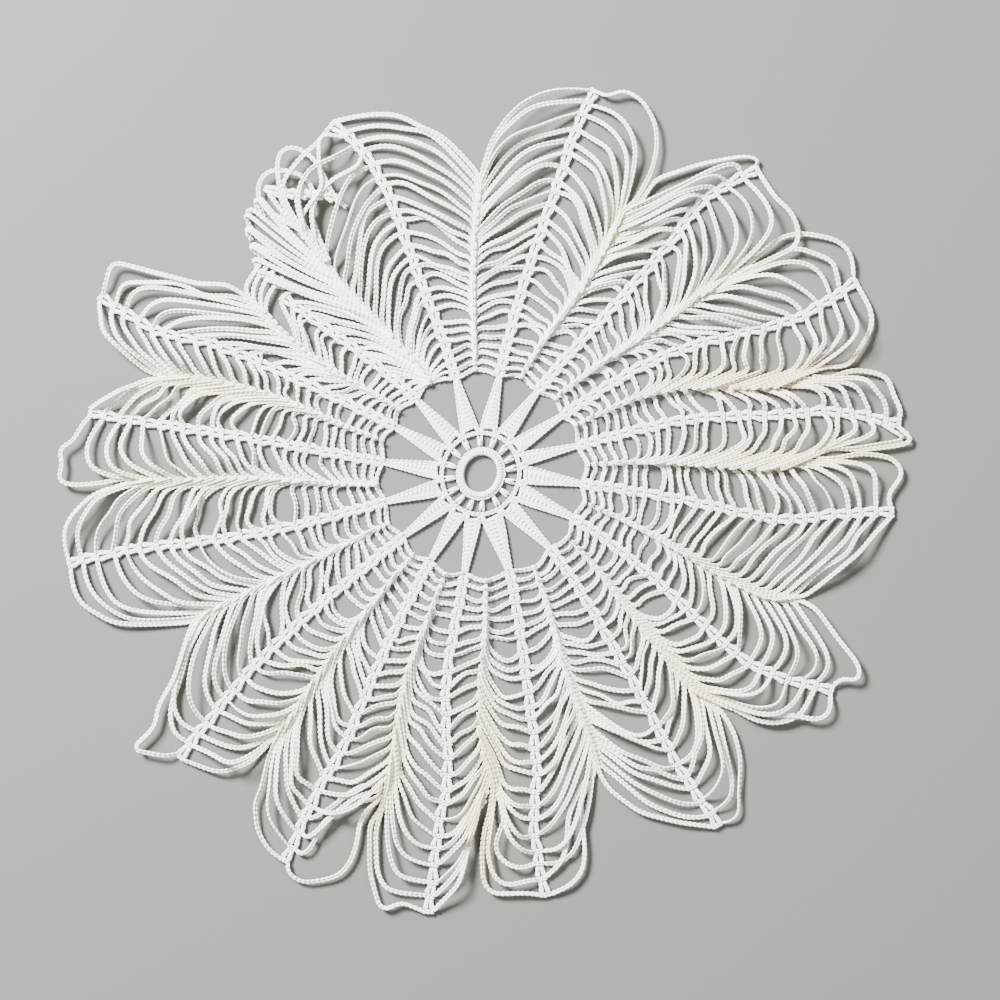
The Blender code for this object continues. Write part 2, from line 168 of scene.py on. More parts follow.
STRAYS = (
    Stray(0, LEFT, 24, ((120.9, -6.6), (126.6, 0.9), (122.4, 5.4), (113.0, 6.5))),
    Stray(1, LEFT, 24, ((126.3, 18.0), (123.0, 24.0), (121.8, 29.1), (117.9, 30.6), (111.0, 31.5))),
    Stray(1, RIGHT, 24, ((127.6, 11.6), (130.2, 10.2), (124.0, 8.6), (114.0, 7.5))),
    Stray(1, RIGHT, 23, ((124.5, 12.2), (128.0, 10.6), (120.0, 9.4), (112.0, 8.0))),
    Stray(2, LEFT, 24, ((111.0, 63.9), (109.8, 67.5), (105.9, 70.5), (96.9, 72.3), (90.3, 71.7),
                        (83.0, 66.0))),
    Stray(2, LEFT, 23, ((105.3, 63.9), (99.9, 66.0), (93.9, 68.1), (84.0, 63.5)), 3.0),
    Stray(2, RIGHT, 24, ((116.4, 49.5), (117.0, 45.9), (115.8, 42.0), (109.8, 32.4))),
    Stray(3, LEFT, 24, ((84.3, 93.0), (82.5, 95.1), (77.4, 95.4), (65.4, 93.0), (51.9, 88.5))),
    Stray(3, RIGHT, 24, ((87.9, 82.5), (92.4, 78.9), (94.5, 74.1), (94.8, 70.5), (93.9, 68.1),
                         (83.4, 63.0)), 3.0),
    Stray(4, RIGHT, 24, ((37.6, 112.6), (41.8, 115.4), (47.8, 112.2), (51.8, 105.6), (52.5, 98.0),
                         (50.6, 90.0)), 3.0),
    Stray(5, LEFT, 24, ((-48.0, 100.0), (-53.8, 95.2), (-59.6, 87.8)), 3.6),
    Stray(5, LEFT, 23, ((-48.6, 102.0), (-48.7, 95.2), (-48.4, 89.8), (-47.0, 86.4), (-52.0, 80.0)), 4.2),
    Stray(5, LEFT, 22, ((-44.3, 94.6), (-51.1, 91.8), (-54.5, 86.4), (-55.1, 81.7), (-53.1, 73.6)), 4.4),
    Stray(5, LEFT, 21, ((-36.2, 92.5), (-44.3, 88.5), (-49.1, 83.7), (-51.1, 79.0), (-50.0, 71.0)), 3.8),
    Stray(7, RIGHT, 24, ((-112.5, 57.0), (-110.7, 63.9), (-84.6, 57.0), (-76.0, 57.0)), 3.0),
    Stray(7, RIGHT, 23, ((-108.0, 57.6), (-90.6, 57.6), (-83.1, 53.4), (-74.5, 53.6))),
    Stray(8, LEFT, 24, ((-118.8, 16.2), (-122.4, 9.4), (-127.0, 8.1), (-124.9, 3.4), (-127.3, -2.0),
                        (-121.9, -3.2), (-113.0, -2.4)), 3.0),
    Stray(10, RIGHT, 24, ((-94.2, -84.3), (-99.6, -83.1), (-105.2, -82.2), (-101.0, -78.6), (-97.4, -75.0),
                          (-97.0, -69.6), (-91.8, -60.6), (-88.4, -49.5)), 3.0),
    Stray(10, RIGHT, 23, ((-92.4, -77.4), (-93.6, -70.8), (-89.7, -59.4), (-87.4, -49.8))),
    Stray(11, LEFT, 24, ((-59.1, -117.9), (-54.6, -122.1), (-48.6, -121.5), (-42.6, -120.0), (-39.0, -115.5),
                         (-37.2, -109.5), (-36.6, -103.5), (-32.1, -97.5))),
    Stray(11, LEFT, 23, ((-55.0, -114.4), (-51.9, -113.0), (-49.5, -108.4), (-48.1, -104.2), (-43.9, -101.0),
                         (-37.4, -98.0)), 2.2),
    Stray(11, LEFT, 22, ((-53.6, -109.4), (-50.3, -107.4), (-47.0, -104.2), (-42.2, -99.6),
                         (-36.6, -95.6)), 3.2),
    Stray(11, LEFT, 21, ((-51.5, -103.0), (-48.0, -101.6), (-44.0, -98.6), (-36.8, -93.0)), 1.8),
    Stray(11, RIGHT, 24, ((-63.6, -112.5), (-67.2, -106.5), (-68.1, -97.5), (-66.0, -94.5), (-64.5, -87.0))),
    Stray(12, RIGHT, 24, ((-24.6, -127.5), (-29.1, -130.8), (-30.6, -129.9), (-33.6, -118.5),
                          (-33.6, -104.0))),
    Stray(12, RIGHT, 23, ((-24.6, -125.1), (-29.1, -123.9), (-31.5, -118.5), (-31.8, -106.0))),
    Stray(13, LEFT, 24, ((26.4, -123.0), (30.3, -118.5), (30.9, -112.5), (29.4, -97.5))),
    Stray(13, LEFT, 23, ((24.3, -115.5), (25.5, -109.5), (25.8, -102.0), (28.5, -95.5))),
    Stray(13, RIGHT, 24, ((14.4, -125.1), (2.4, -125.4), (0.3, -121.5), (0.0, -112.5), (0.9, -105.0))),
    Stray(13, RIGHT, 23, ((15.3, -121.0), (6.9, -123.0), (3.3, -120.0), (1.5, -112.5), (2.9, -103.0)), 3.0),
    Stray(13, RIGHT, 22, ((11.4, -117.9), (6.9, -116.1), (3.9, -112.5), (4.5, -108.0), (7.6, -101.5)), 3.4),
    Stray(14, LEFT, 24, ((75.9, -103.5), (77.4, -101.1), (76.8, -97.5), (77.5, -85.0), (75.5, -77.0))),
    Stray(14, RIGHT, 24, ((59.4, -104.1), (47.4, -101.1), (38.4, -94.5))),
    Stray(14, RIGHT, 17, ((52.7, -79.8), (48.0, -80.3), (42.6, -78.2), (35.5, -73.6)), 1.6),
    Stray(14, RIGHT, 16, ((50.4, -77.4), (46.6, -78.5), (42.0, -76.6), (35.0, -71.8)), 1.6),
    Stray(15, LEFT, 24, ((108.0, -60.0), (111.9, -62.4), (113.4, -60.0), (112.5, -56.4), (106.8, -49.5),
                         (100.0, -40.0)), 3.0),
    Stray(15, RIGHT, 24, ((104.4, -67.5), (103.8, -72.0), (99.9, -73.5), (94.5, -72.0), (84.0, -71.5)), 3.0),
    Stray(15, RIGHT, 23, ((96.3, -70.5), (93.9, -72.9), (87.9, -74.4), (81.9, -73.5)), 2.6),
)


def smooth(value: float) -> float:
    """Ease from 0 to 1 while value runs from 0 to 1."""
    value = min(max(value, 0.0), 1.0)
    return value * value * (3.0 - 2.0 * value)


def mix(start: float, end: float, part: float) -> float:
    """The value a part of the way from start to end."""
    return start + (end - start) * part


def grown(turn: float, first: float, over: float) -> float:
    """How far something has grown by a round, when it grows from the first round over some rounds."""
    return smooth((turn - first) / over)


def near(angle: float, other: float) -> float:
    """The same direction as angle, within half a turn of other."""
    return other + (angle - other + 180.0) % 360.0 - 180.0


def polar(angle: float, radius: float, height: float = 0.0) -> np.ndarray:
    """The point at an angle and radius about the middle of the ring."""
    turn = math.radians(angle)
    return np.array((radius * math.cos(turn), radius * math.sin(turn), height))


def through(stations: Sequence[float], values: Sequence[float], place: float) -> float:
    """A smooth curve through the values at the stations, level outside them.

    Args:
        stations: Where the values stand, rising.
        values: One value a station.
        place: Where the curve is read.

    Returns:
        The curve's value at the place.
    """
    if place <= stations[0]:
        return values[0]
    if place >= stations[-1]:
        return values[-1]
    last = len(stations) - 1
    left = max(index for index in range(last) if stations[index] <= place)

    def slope(index: int) -> float:
        """The slope at a station, from the stations beside it."""
        before, after = max(index - 1, 0), min(index + 1, last)
        return (values[after] - values[before]) / (stations[after] - stations[before])

    span = stations[left + 1] - stations[left]
    t = (place - stations[left]) / span
    return (mix(values[left], values[left + 1], t * t * (3.0 - 2.0 * t))
            + (t ** 3 - 2.0 * t * t + t) * slope(left) * span + (t ** 3 - t * t) * slope(left + 1) * span)


def resample(route: np.ndarray, count: int) -> np.ndarray:
    """The route again, with its points evenly spaced along it.

    Args:
        route: Points, one a row.
        count: How many points to return.

    Returns:
        The new points, one a row.
    """
    steps = np.linalg.norm(np.diff(route, axis=0), axis=1)
    along = np.concatenate(([0.0], np.cumsum(steps)))
    places = np.linspace(0.0, along[-1], count)
    return np.stack([np.interp(places, along, route[:, axis]) for axis in range(3)], axis=1)


def length_of(route: np.ndarray) -> float:
    """The length of a route."""
    return float(np.linalg.norm(np.diff(route, axis=0), axis=1).sum())


def eased(way: np.ndarray, spacing: float, passes: int, least: int = 2) -> np.ndarray:
    """The way with evenly spaced points and its kinks eased out, its ends kept.

    Args:
        way: Points, one a row.
        spacing: The distance between the new points.
        passes: How often each point is drawn to the middle of its neighbours.
        least: The least number of points.

    Returns:
        The new points, one a row.
    """
    route = resample(way, max(least, round(length_of(way) / spacing)))
    for _ in range(passes):
        route[1:-1] = 0.25 * route[:-2] + 0.5 * route[1:-1] + 0.25 * route[2:]
    return route


def unit(vectors: np.ndarray) -> np.ndarray:
    """Each row scaled to length one."""
    return vectors / np.maximum(np.linalg.norm(vectors, axis=-1, keepdims=True), 1e-9)


@dataclass(frozen=True)
class Chart:
    """The worked pattern: where each round meets the ribs and the valleys."""

    rounds: int = 25
    root_radius: float = 30.0
    round_growth: float = 1.12
    shoulder_round: float = 16.0                    # from here on the arcs take the rim's shape
    middle_shoulder: float = 0.45                   # an even arc's corner, from the valley to the rib
    unevenness: float = 0.5                         # how far the rounds stray along a rib
    uneven_wave: tuple[float, float] = (1.9, 2.4)   # radians of its wave each round and each petal
    uneven_rounds: tuple[float, float] = (0.0, 6.0)  # from which round it grows, and over how many
    uneven_fade: tuple[float, float] = (2.0, 4.0)   # how far past the last round it ends, its fade
    folded: int = 6                                 # the petal whose end is folded over
    fold_round: int = 16                            # its last whole round
    rib_half: tuple[float, float] = (0.7, 1.2)      # from a rib's middle to its chains, inside and outside
    rib_rounds: tuple[float, float] = (0.0, 3.0)    # from which round that grows, and over how many
    rib_height: float = 1.15
    rib_stations: tuple[float, ...] = (30.0, 60.0, 90.0, 105.0)
    zigzag: float = 0.35                            # how far a rib strays to the left and right
    zigzag_wave: tuple[float, float] = (2.3, 1.7)   # radians of its wave each round and each petal
    zigzag_rounds: tuple[float, float] = (0.0, 4.0)
    valley_stations: tuple[float, ...] = (33.0, 60.0, 90.0)
    first_stitch: float = 32.0
    least_run: float = 0.2                          # a chain's way inside its bundle, at the least
    lying: float = 0.62                             # height of a chain's middle where it lies on the table
    girth: float = 1.3                              # height of a chain
    level: float = 0.955                            # where a piled chain leaves its band, in rib radii
    piled: tuple[float, float] = (1.0, 3.4)         # half widths of a band with no and with full piling
    left_piled: float = 0.5                         # how far the chains on a valley's right side follow that
    tuck: float = 4.0                               # how far a chain runs on under the band
    tucked: float = 0.4                             # where it ends there, as a share of the band's half width
    band_run: tuple[float, float] = (3.0, 4.6)      # a chain's way down a band: least, and per half width
    band_start: float = 38.0                        # radius where the bands start to widen
    band_growth: float = 42.0                       # over what length they widen
    band_least: float = 0.2                         # their half width before that
    band_taper: tuple[float, float] = (26.0, 0.6)   # length of a band's last stretch, its share of the width

    @property
    def last(self) -> int:
        """Number of the outermost round."""
        return self.rounds - 1

    def valley_of(self, petal: int, side: Side) -> int:
        """The valley on that side of the petal."""
        return petal if side is LEFT else (petal - 1) % COUNT

    def rib_angle(self, petal: int, radius: float) -> float:
        """Direction of a petal's rib at a radius."""
        row = PETALS[petal]
        return through((*self.rib_stations, row.reach),
                       (row.root, row.inner, row.outer, row.late, row.tip), radius)

    def valley_angle(self, valley: int, radius: float) -> float:
        """Direction of a valley's middle line at a radius.

        Args:
            valley: Its number.
            radius: Where along it.

        Returns:
            The angle, through those stations that lie inside the notch.
        """
        row = VALLEYS[valley]
        inner = [(at, angle) for at, angle in zip(self.valley_stations, (row.root, row.inner, row.outer))
                 if at < row.reach - 1.0]
        stations = [at for at, _ in inner] + [row.reach]
        return through(stations, [angle for _, angle in inner] + [row.notch], radius)

    def rib_radius(self, petal: int, turn: float) -> float:
        """How far out a round meets a petal's rib.

        Args:
            petal: Its number.
            turn: The round.

        Returns:
            The radius, unevenly spaced except at the first and the last rounds.
        """
        part = (max(turn, 0.0) / self.last) ** self.round_growth
        even = mix(self.root_radius, PETALS[petal].reach, part)
        beyond, fade = self.uneven_fade
        uneven = grown(turn, *self.uneven_rounds) * smooth((self.last + beyond - turn) / fade)
        a_round, a_petal = self.uneven_wave
        return even + self.unevenness * uneven * math.sin(a_round * turn + a_petal * petal)

    def rib_point(self, petal: int, turn: float) -> np.ndarray:
        """Where a round meets a petal's rib.

        Args:
            petal: Its number.
            turn: The round.

        Returns:
            The point, at height 0.
        """
        radius = self.rib_radius(petal, turn)
        a_round, a_petal = self.zigzag_wave
        stray = self.zigzag * grown(turn, *self.zigzag_rounds) * math.sin(a_round * turn + a_petal * petal)
        return polar(self.rib_angle(petal, radius) + math.degrees(stray / radius), radius)

    def rib_edge(self, petal: int, side: Side, turn: float) -> np.ndarray:
        """Where a round's chain starts.

        Args:
            petal: Its petal.
            side: The side of the rib.
            turn: The round.

        Returns:
            The point, at the height of the rib.
        """
        here = self.rib_point(petal, turn)
        outward = unit(self.rib_point(petal, turn + 0.5) - self.rib_point(petal, turn - 0.5))
        half = mix(*self.rib_half, grown(turn, *self.rib_rounds))
        return here + np.cross(UP, outward) * side.value * half + UP * self.rib_height

    def release_radius(self, petal: int, side: Side, turn: float) -> float:
        """How far out a round's chain leaves the bundle in the valley.

        Args:
            petal: Its petal.
            side: Which half of the petal.
            turn: The round.

        Returns:
            The radius: evenly spread along a narrow valley, level with the round in a wide one.
        """
        row = VALLEYS[self.valley_of(petal, side)]
        drop = (PETALS[petal].left if side is LEFT else PETALS[petal].right).drop
        even = mix(self.first_stitch, row.reach, (max(turn, 0.0) / self.last) ** drop)
        level = min(self.level * self.rib_radius(petal, turn), row.reach - 2.0 * row.half_width)
        none, full = self.piled
        share = smooth((row.half_width - none) / (full - none)) * (self.left_piled if side is LEFT else 1.0)
        return mix(even, max(even, level), share)

    def stitch_radius(self, petal: int, side: Side, turn: float) -> float:
        """How far out a round is caught down in the valley.

        Args:
            petal: Its petal.
            side: Which half of the petal.
            turn: The round.

        Returns:
            The radius, never far inside the first stitch.
        """
        least, growth = self.band_run
        wide = VALLEYS[self.valley_of(petal, side)].half_width
        run = self.tuck if side is LEFT else least + growth * wide
        return max(self.release_radius(petal, side, turn) - min(run, self.least_run + turn),
                   self.first_stitch - self.least_run)

    def spread(self, valley: int, radius: float) -> float:
        """Half the width of a band between the middles of its chains.

        Args:
            valley: Where it lies.
            radius: Where along it.

        Returns:
            The width, which grows outward and shrinks again near the notch.
        """
        row = VALLEYS[valley]
        wide = mix(self.band_least, row.half_width, smooth((radius - self.band_start) / self.band_growth))
        taper, share = self.band_taper
        return wide * mix(1.0, share, smooth((radius - row.reach) / taper + 1.0))

    def bundled(self, petal: int, side: Side, turn: float, radius: float) -> np.ndarray:
        """The place of a round's chain at a radius in the valley.

        Args:
            petal: The petal whose half the chain belongs to.
            side: Which half.
            turn: The round.
            radius: Where along the valley.

        Returns:
            The point: in the band, across which a right half's chains run down, or under its edge.
        """
        valley = self.valley_of(petal, side)
        stitch, release = self.stitch_radius(petal, side, turn), self.release_radius(petal, side, turn)
        part = min(max((radius - stitch) / max(release - stitch, 0.1), 0.0), 1.0)
        wide = self.spread(valley, radius)
        if side is LEFT:
            away, height = -wide * mix(self.tucked, 1.0, part), self.lying
        else:
            away = wide * mix(-1.0, 1.0, part)
            height = self.lying + (VALLEYS[valley].height - self.girth) * (1.0 - part)
        angle = near(self.valley_angle(valley, radius), PETALS[petal].outer)
        return polar(angle + math.degrees(away / radius), radius, height)


@dataclass
class Thread:
    """Strokes of thread, gathered and then written as one mesh.

    A stroke is a short closed spindle with two rings between its ends.
    """

    sides: int = 5
    rings: tuple[tuple[float, float], ...] = ((0.2, 0.75), (0.68, 1.0))
    table: float = 0.02         # nothing reaches lower than this, mm
    steepness: float = 0.35     # share of the height that opens steep faces on the bake map
    margin: float = 0.005       # edge of the bake map's halves
    tails: list[np.ndarray] = field(default_factory=list)
    heads: list[np.ndarray] = field(default_factory=list)
    ups: list[np.ndarray] = field(default_factory=list)
    radii: list[np.ndarray] = field(default_factory=list)
    bows: list[np.ndarray] = field(default_factory=list)
    ages: list[np.ndarray] = field(default_factory=list)

    def strokes(self, tails: np.ndarray, heads: np.ndarray, ups: np.ndarray, radius: float,
                bow: float = 0.0, age: float = 0.0) -> None:
        """Add strokes, one a row.

        Args:
            tails: Where the strokes start.
            heads: Where they end.
            ups: Their upper side.
            radius: Half their thickness.
            bow: How far their middles bulge to their left.
            age: How yellowed the cotton is there, from 0 to 1.
        """
        count = len(tails)
        self.tails.append(np.asarray(tails, float).reshape(count, 3))
        self.heads.append(np.asarray(heads, float).reshape(count, 3))
        self.ups.append(np.broadcast_to(np.asarray(ups, float), (count, 3)))
        for store, value in ((self.radii, radius), (self.bows, bow), (self.ages, age)):
            store.append(np.broadcast_to(np.asarray(value, float), (count,)))

    @property
    def count(self) -> int:
        """How many strokes there are."""
        return sum(len(block) for block in self.tails)

    def corners(self) -> tuple[np.ndarray, np.ndarray]:
        """The vertices of all strokes.

        Returns:
            Their places, one row of points a stroke, and how far along its stroke each one lies.
        """
        tails, heads, ups = (np.concatenate(block) for block in (self.tails, self.heads, self.ups))
        radii, bows = np.concatenate(self.radii)[:, None], np.concatenate(self.bows)[:, None]
        run = heads - tails
        ahead = unit(run)
        left = unit(np.cross(ups, ahead))
        above = np.cross(ahead, left)
        places, alongs = [tails], [0.0]
        for share, fullness in self.rings:
            middle = tails + run * share + left * bows
            for index in range(self.sides):
                turn = 2.0 * math.pi * index / self.sides
                reach = radii * fullness * (math.cos(turn) * left + math.sin(turn) * above)
                places.append(middle + reach)
                alongs.append(share)
        places.append(heads)
        alongs.append(1.0)
        lengths = np.linalg.norm(run, axis=1)[:, None]
        stacked = np.stack(places, axis=1)
        stacked[:, :, 2] = np.maximum(stacked[:, :, 2], self.table)
        return stacked, np.array(alongs)[None, :] * lengths

    def faces(self) -> tuple[list[tuple[int, ...]], list[tuple[float, ...]]]:
        """The faces of one stroke.

        Returns:
            Their corner numbers, and each corner's place round the stroke, from 0 to 1.
        """
        last = 1 + self.sides * len(self.rings)
        found, around = [], []
        for index in range(self.sides):
            after = (index + 1) % self.sides
            here, there = index / self.sides, (index + 1) / self.sides
            found.append((0, 1 + after, 1 + index))
            around.append((here, there, here))
            for ring in range(len(self.rings) - 1):
                low, high = 1 + ring * self.sides, 1 + (ring + 1) * self.sides
                found.append((low + index, low + after, high + after, high + index))
                around.append((here, there, there, here))
            outer = last - self.sides
            found.append((outer + index, outer + after, last))
            around.append((here, there, here))
        return found, around

    def lay_out(self, mesh: bpy.types.Mesh, places: np.ndarray, sizes: np.ndarray) -> None:
        """Give a mesh its bake map: seen from above on the left half, from below on the right half.

        Args:
            mesh: The mesh.
            places: The place of each face corner.
            sizes: How many corners each face has.
        """
        normals = np.empty(len(sizes) * 3)
        mesh.polygons.foreach_get("normal", normals)
        below = np.repeat(normals[2::3] < 0.0, sizes)
        flat = places[:, :2] + self.steepness * places[:, 2:]
        low, span = flat.min(axis=0), np.ptp(flat, axis=0)
        short, long = np.argsort(span)
        half, full = 0.5 - 2.0 * self.margin, 1.0 - 2.0 * self.margin
        across = (flat[:, short] - low[short]) / span[short] * half + self.margin + 0.5 * below
        along = (flat[:, long] - low[long]) / span[long] * full + self.margin
        mesh.uv_layers.new(name="OFBake").uv.foreach_set("vector", np.stack([across, along], axis=1).ravel())

    def mesh(self, name: str) -> bpy.types.Object:
        """Write all strokes as one object in metres, with its thread map and its age.

        Args:
            name: Name of the object and its mesh.

        Returns:
            The object, linked to the scene.
        """
        places, alongs = self.corners()
        total, each = places.shape[:2]
        faces, around = self.faces()
        sizes = np.tile([len(face) for face in faces], total)
        ring = np.concatenate([np.array(face) for face in faces])
        loops = (ring[None, :] + each * np.arange(total)[:, None]).ravel()
        mesh = bpy.data.meshes.new(name)
        mesh.vertices.add(total * each)
        mesh.vertices.foreach_set("co", ((places.reshape(-1, 3) + RING_AT) * MM).ravel())
        mesh.loops.add(len(loops))
        mesh.loops.foreach_set("vertex_index", loops)
        mesh.polygons.add(len(sizes))
        mesh.polygons.foreach_set("loop_start", np.concatenate(([0], np.cumsum(sizes)[:-1])))
        mesh.polygons.foreach_set("use_smooth", np.ones(len(sizes), bool))
        mesh.update(calc_edges=True)
        mesh.validate()
        across = np.tile(np.concatenate([np.array(turn) for turn in around]), total)
        threads = mesh.uv_layers.new(name="thread")
        threads.uv.foreach_set("vector", np.stack([alongs.ravel()[loops], across], axis=1).ravel())
        self.lay_out(mesh, places.reshape(-1, 3)[loops], sizes)
        age = mesh.attributes.new("age", "FLOAT", "POINT")
        age.data.foreach_set("value", np.repeat(np.concatenate(self.ages), each))
        piece = bpy.data.objects.new(name, mesh)
        bpy.context.scene.collection.objects.link(piece)
        return piece


@dataclass(frozen=True)
class ChainStitch:
    """A row of chain stitches: each is a V whose arms hold the point of the next one."""

    length: float = 1.45
    thread: float = 0.41        # half the thickness of an arm
    inner: float = 0.1          # from the chain's middle to where an arm starts
    outer: float = 0.47         # and to where it ends
    reach: float = 1.62         # an arm's length, in stitches
    dip: float = 0.22           # how far an arm starts under the chain's middle
    rise: float = 0.6           # how far it ends over the middle, as a share of the dip
    bow: float = 0.07           # how far it bulges outward

    def work(self, thread: Thread, route: np.ndarray, rolls: tuple[float, float] = (0.0, 0.0),
             age: float | np.ndarray = 0.0, tight: float = 1.0) -> None:
        """Dress a route with stitches.

        Args:
            thread: Where the strokes go.
            route: Points of the chain's middle line, in the order in which it is worked.
            rolls: How far the chain is turned about itself at its start and its end, in degrees.
            age: How yellowed it is: one value, or one a point of the route.
            tight: Scale of the chain's thickness.
        """
        count = max(2, round(length_of(route) / self.length))
        places = resample(route, count + 1)
        ahead = unit(np.gradient(places, axis=0))
        turns = np.radians(np.linspace(rolls[0], rolls[1], count + 1))[:, None]
        level = unit(np.cross(UP, ahead))
        upright = np.cross(ahead, level)
        up = upright * np.cos(turns) + level * np.sin(turns)
        left = np.cross(up, ahead)
        beyond = np.concatenate([places, places[-1:] + ahead[-1:] * self.length])
        ages = np.interp(np.linspace(0, 1, count), np.linspace(0, 1, np.size(age)), np.ravel(age))
        nexts = beyond[1:count + 1] + (beyond[2:count + 2] - beyond[1:count + 1]) * (self.reach - 1.0)
        starts, up, left = places[:count], up[:count], left[:count]
        for sign in (1.0, -1.0):
            tails = starts + left * sign * self.inner * tight - up * self.dip
            heads = nexts + left * sign * self.outer * tight + up * self.dip * self.rise
            thread.strokes(tails, heads, up, self.thread * tight, sign * self.bow, ages)


@dataclass(frozen=True)
class Post:
    """An upright crochet stitch: a lower and an upper pair of strands, wrapped where they meet."""

    thread: float = 0.37        # half the thickness of a strand
    apart: float = 0.22         # from the post's middle to a strand
    closed: float = 0.5         # how far apart the strands are at the foot, as a share of that
    splay: float = 1.2          # and at the top
    lower_to: tuple[float, float] = (0.62, 0.56)    # where the lower strands end, in post lengths
    upper_from: tuple[float, float] = (0.42, 0.36)  # where the upper strands start
    wrapped: tuple[float, float] = (0.26, 0.66)     # from where to where the wrap runs
    wrap: float = 0.3           # from the post's middle to the wrap's ends
    lift: float = 0.14          # how high the wrap lies on the strands

    def work(self, thread: Thread, foot: np.ndarray, top: np.ndarray, age: float = 0.0,
             scale: float = 1.0) -> None:
        """Work one post.

        Args:
            thread: Where the strokes go.
            foot: Where it starts.
            top: Where it ends.
            age: How yellowed it is.
            scale: Scale of its thickness.
        """
        run = top - foot
        left = unit(np.cross(UP, run))
        apart, wrap, lift = left * self.apart * scale, left * self.wrap * scale, UP * self.lift
        lower, upper, wrapped = ([foot + run * share for share in shares]
                                 for shares in (self.lower_to, self.upper_from, self.wrapped))
        tails = np.array([foot + apart * self.closed, foot - apart * self.closed,
                          upper[0] + apart, upper[1] - apart, wrapped[0] + wrap + lift])
        heads = np.array([lower[0] + apart, lower[1] - apart,
                          top + apart * self.splay, top - apart * self.splay, wrapped[1] - wrap + lift])
        thread.strokes(tails, heads, UP, self.thread * scale, 0.0, age)


@dataclass(frozen=True)
class Plait:
    """A rib: at each point two posts that splay from the last point, under two stitches across."""

    foot: float = 0.42          # from the rib's middle to a post's foot
    top: float = 1.1            # and to its top
    foot_at: tuple[float, float] = (0.1, -0.1)      # how far outward and up the foot lies from its point
    top_at: tuple[float, float] = (-0.3, 0.15)      # and the top from the next point
    across: float = 0.95        # half the length of the stitches across
    across_heights: tuple[float, float] = (0.4, 0.5)    # how high their ends and their middle lie
    ahead: float = 0.15         # how far outward their middle lies
    thick: tuple[float, float] = (1.4, 1.3)         # scale of the posts at the inner and the outer end

    def work(self, thread: Thread, points: Sequence[np.ndarray], age: float = 0.0) -> None:
        """Work a rib through the points.

        Args:
            thread: Where the strokes go.
            points: Where its rounds lie, from its inner end.
            age: How yellowed it is.
        """
        post, chain = Post(), ChainStitch()
        ends, middle = self.across_heights
        for index, (low, high) in enumerate(zip(points, points[1:])):
            thick = mix(*self.thick, smooth(2.0 * index / len(points)))
            outward = unit((high - low) * LEVEL)
            left = np.cross(UP, outward)
            for sign in (1.0, -1.0):
                foot = low + left * sign * self.foot + outward * self.foot_at[0] + UP * self.foot_at[1]
                top = high + left * sign * self.top + outward * self.top_at[0] + UP * self.top_at[1]
                post.work(thread, foot, top, age, thick)
            tops = np.array([high - left * self.across + UP * ends, high + outward * self.ahead + UP * middle,
                             high + left * self.across + UP * ends])
            chain.work(thread, tops, age=age)


@dataclass(frozen=True)
class Knot:
    """A single crochet that catches a round down in a valley."""

    thread: float = 0.42        # half the thickness of a strand
    foot: tuple[float, float] = (0.95, 0.1)     # how far inward and aside a strand starts
    head: tuple[float, float] = (0.6, 0.62)     # how far outward and aside it ends
    lift: float = 0.15          # how high it ends

    def work(self, thread: Thread, place: np.ndarray, outward: np.ndarray, age: float = 0.0) -> None:
        """Work one knot.

        Args:
            thread: Where the strokes go.
            place: Its middle.
            outward: Direction away from the middle of the doily.
            age: How yellowed it is.
        """
        (inward, close), (ahead, apart) = self.foot, self.head
        sides = unit(np.cross(UP, outward)) * np.array(((1.0,), (-1.0,)))
        tails = place - outward * inward + sides * close
        heads = place + outward * ahead + sides * apart
        thread.strokes(tails, heads + UP * self.lift, UP, self.thread, 0.0, age)


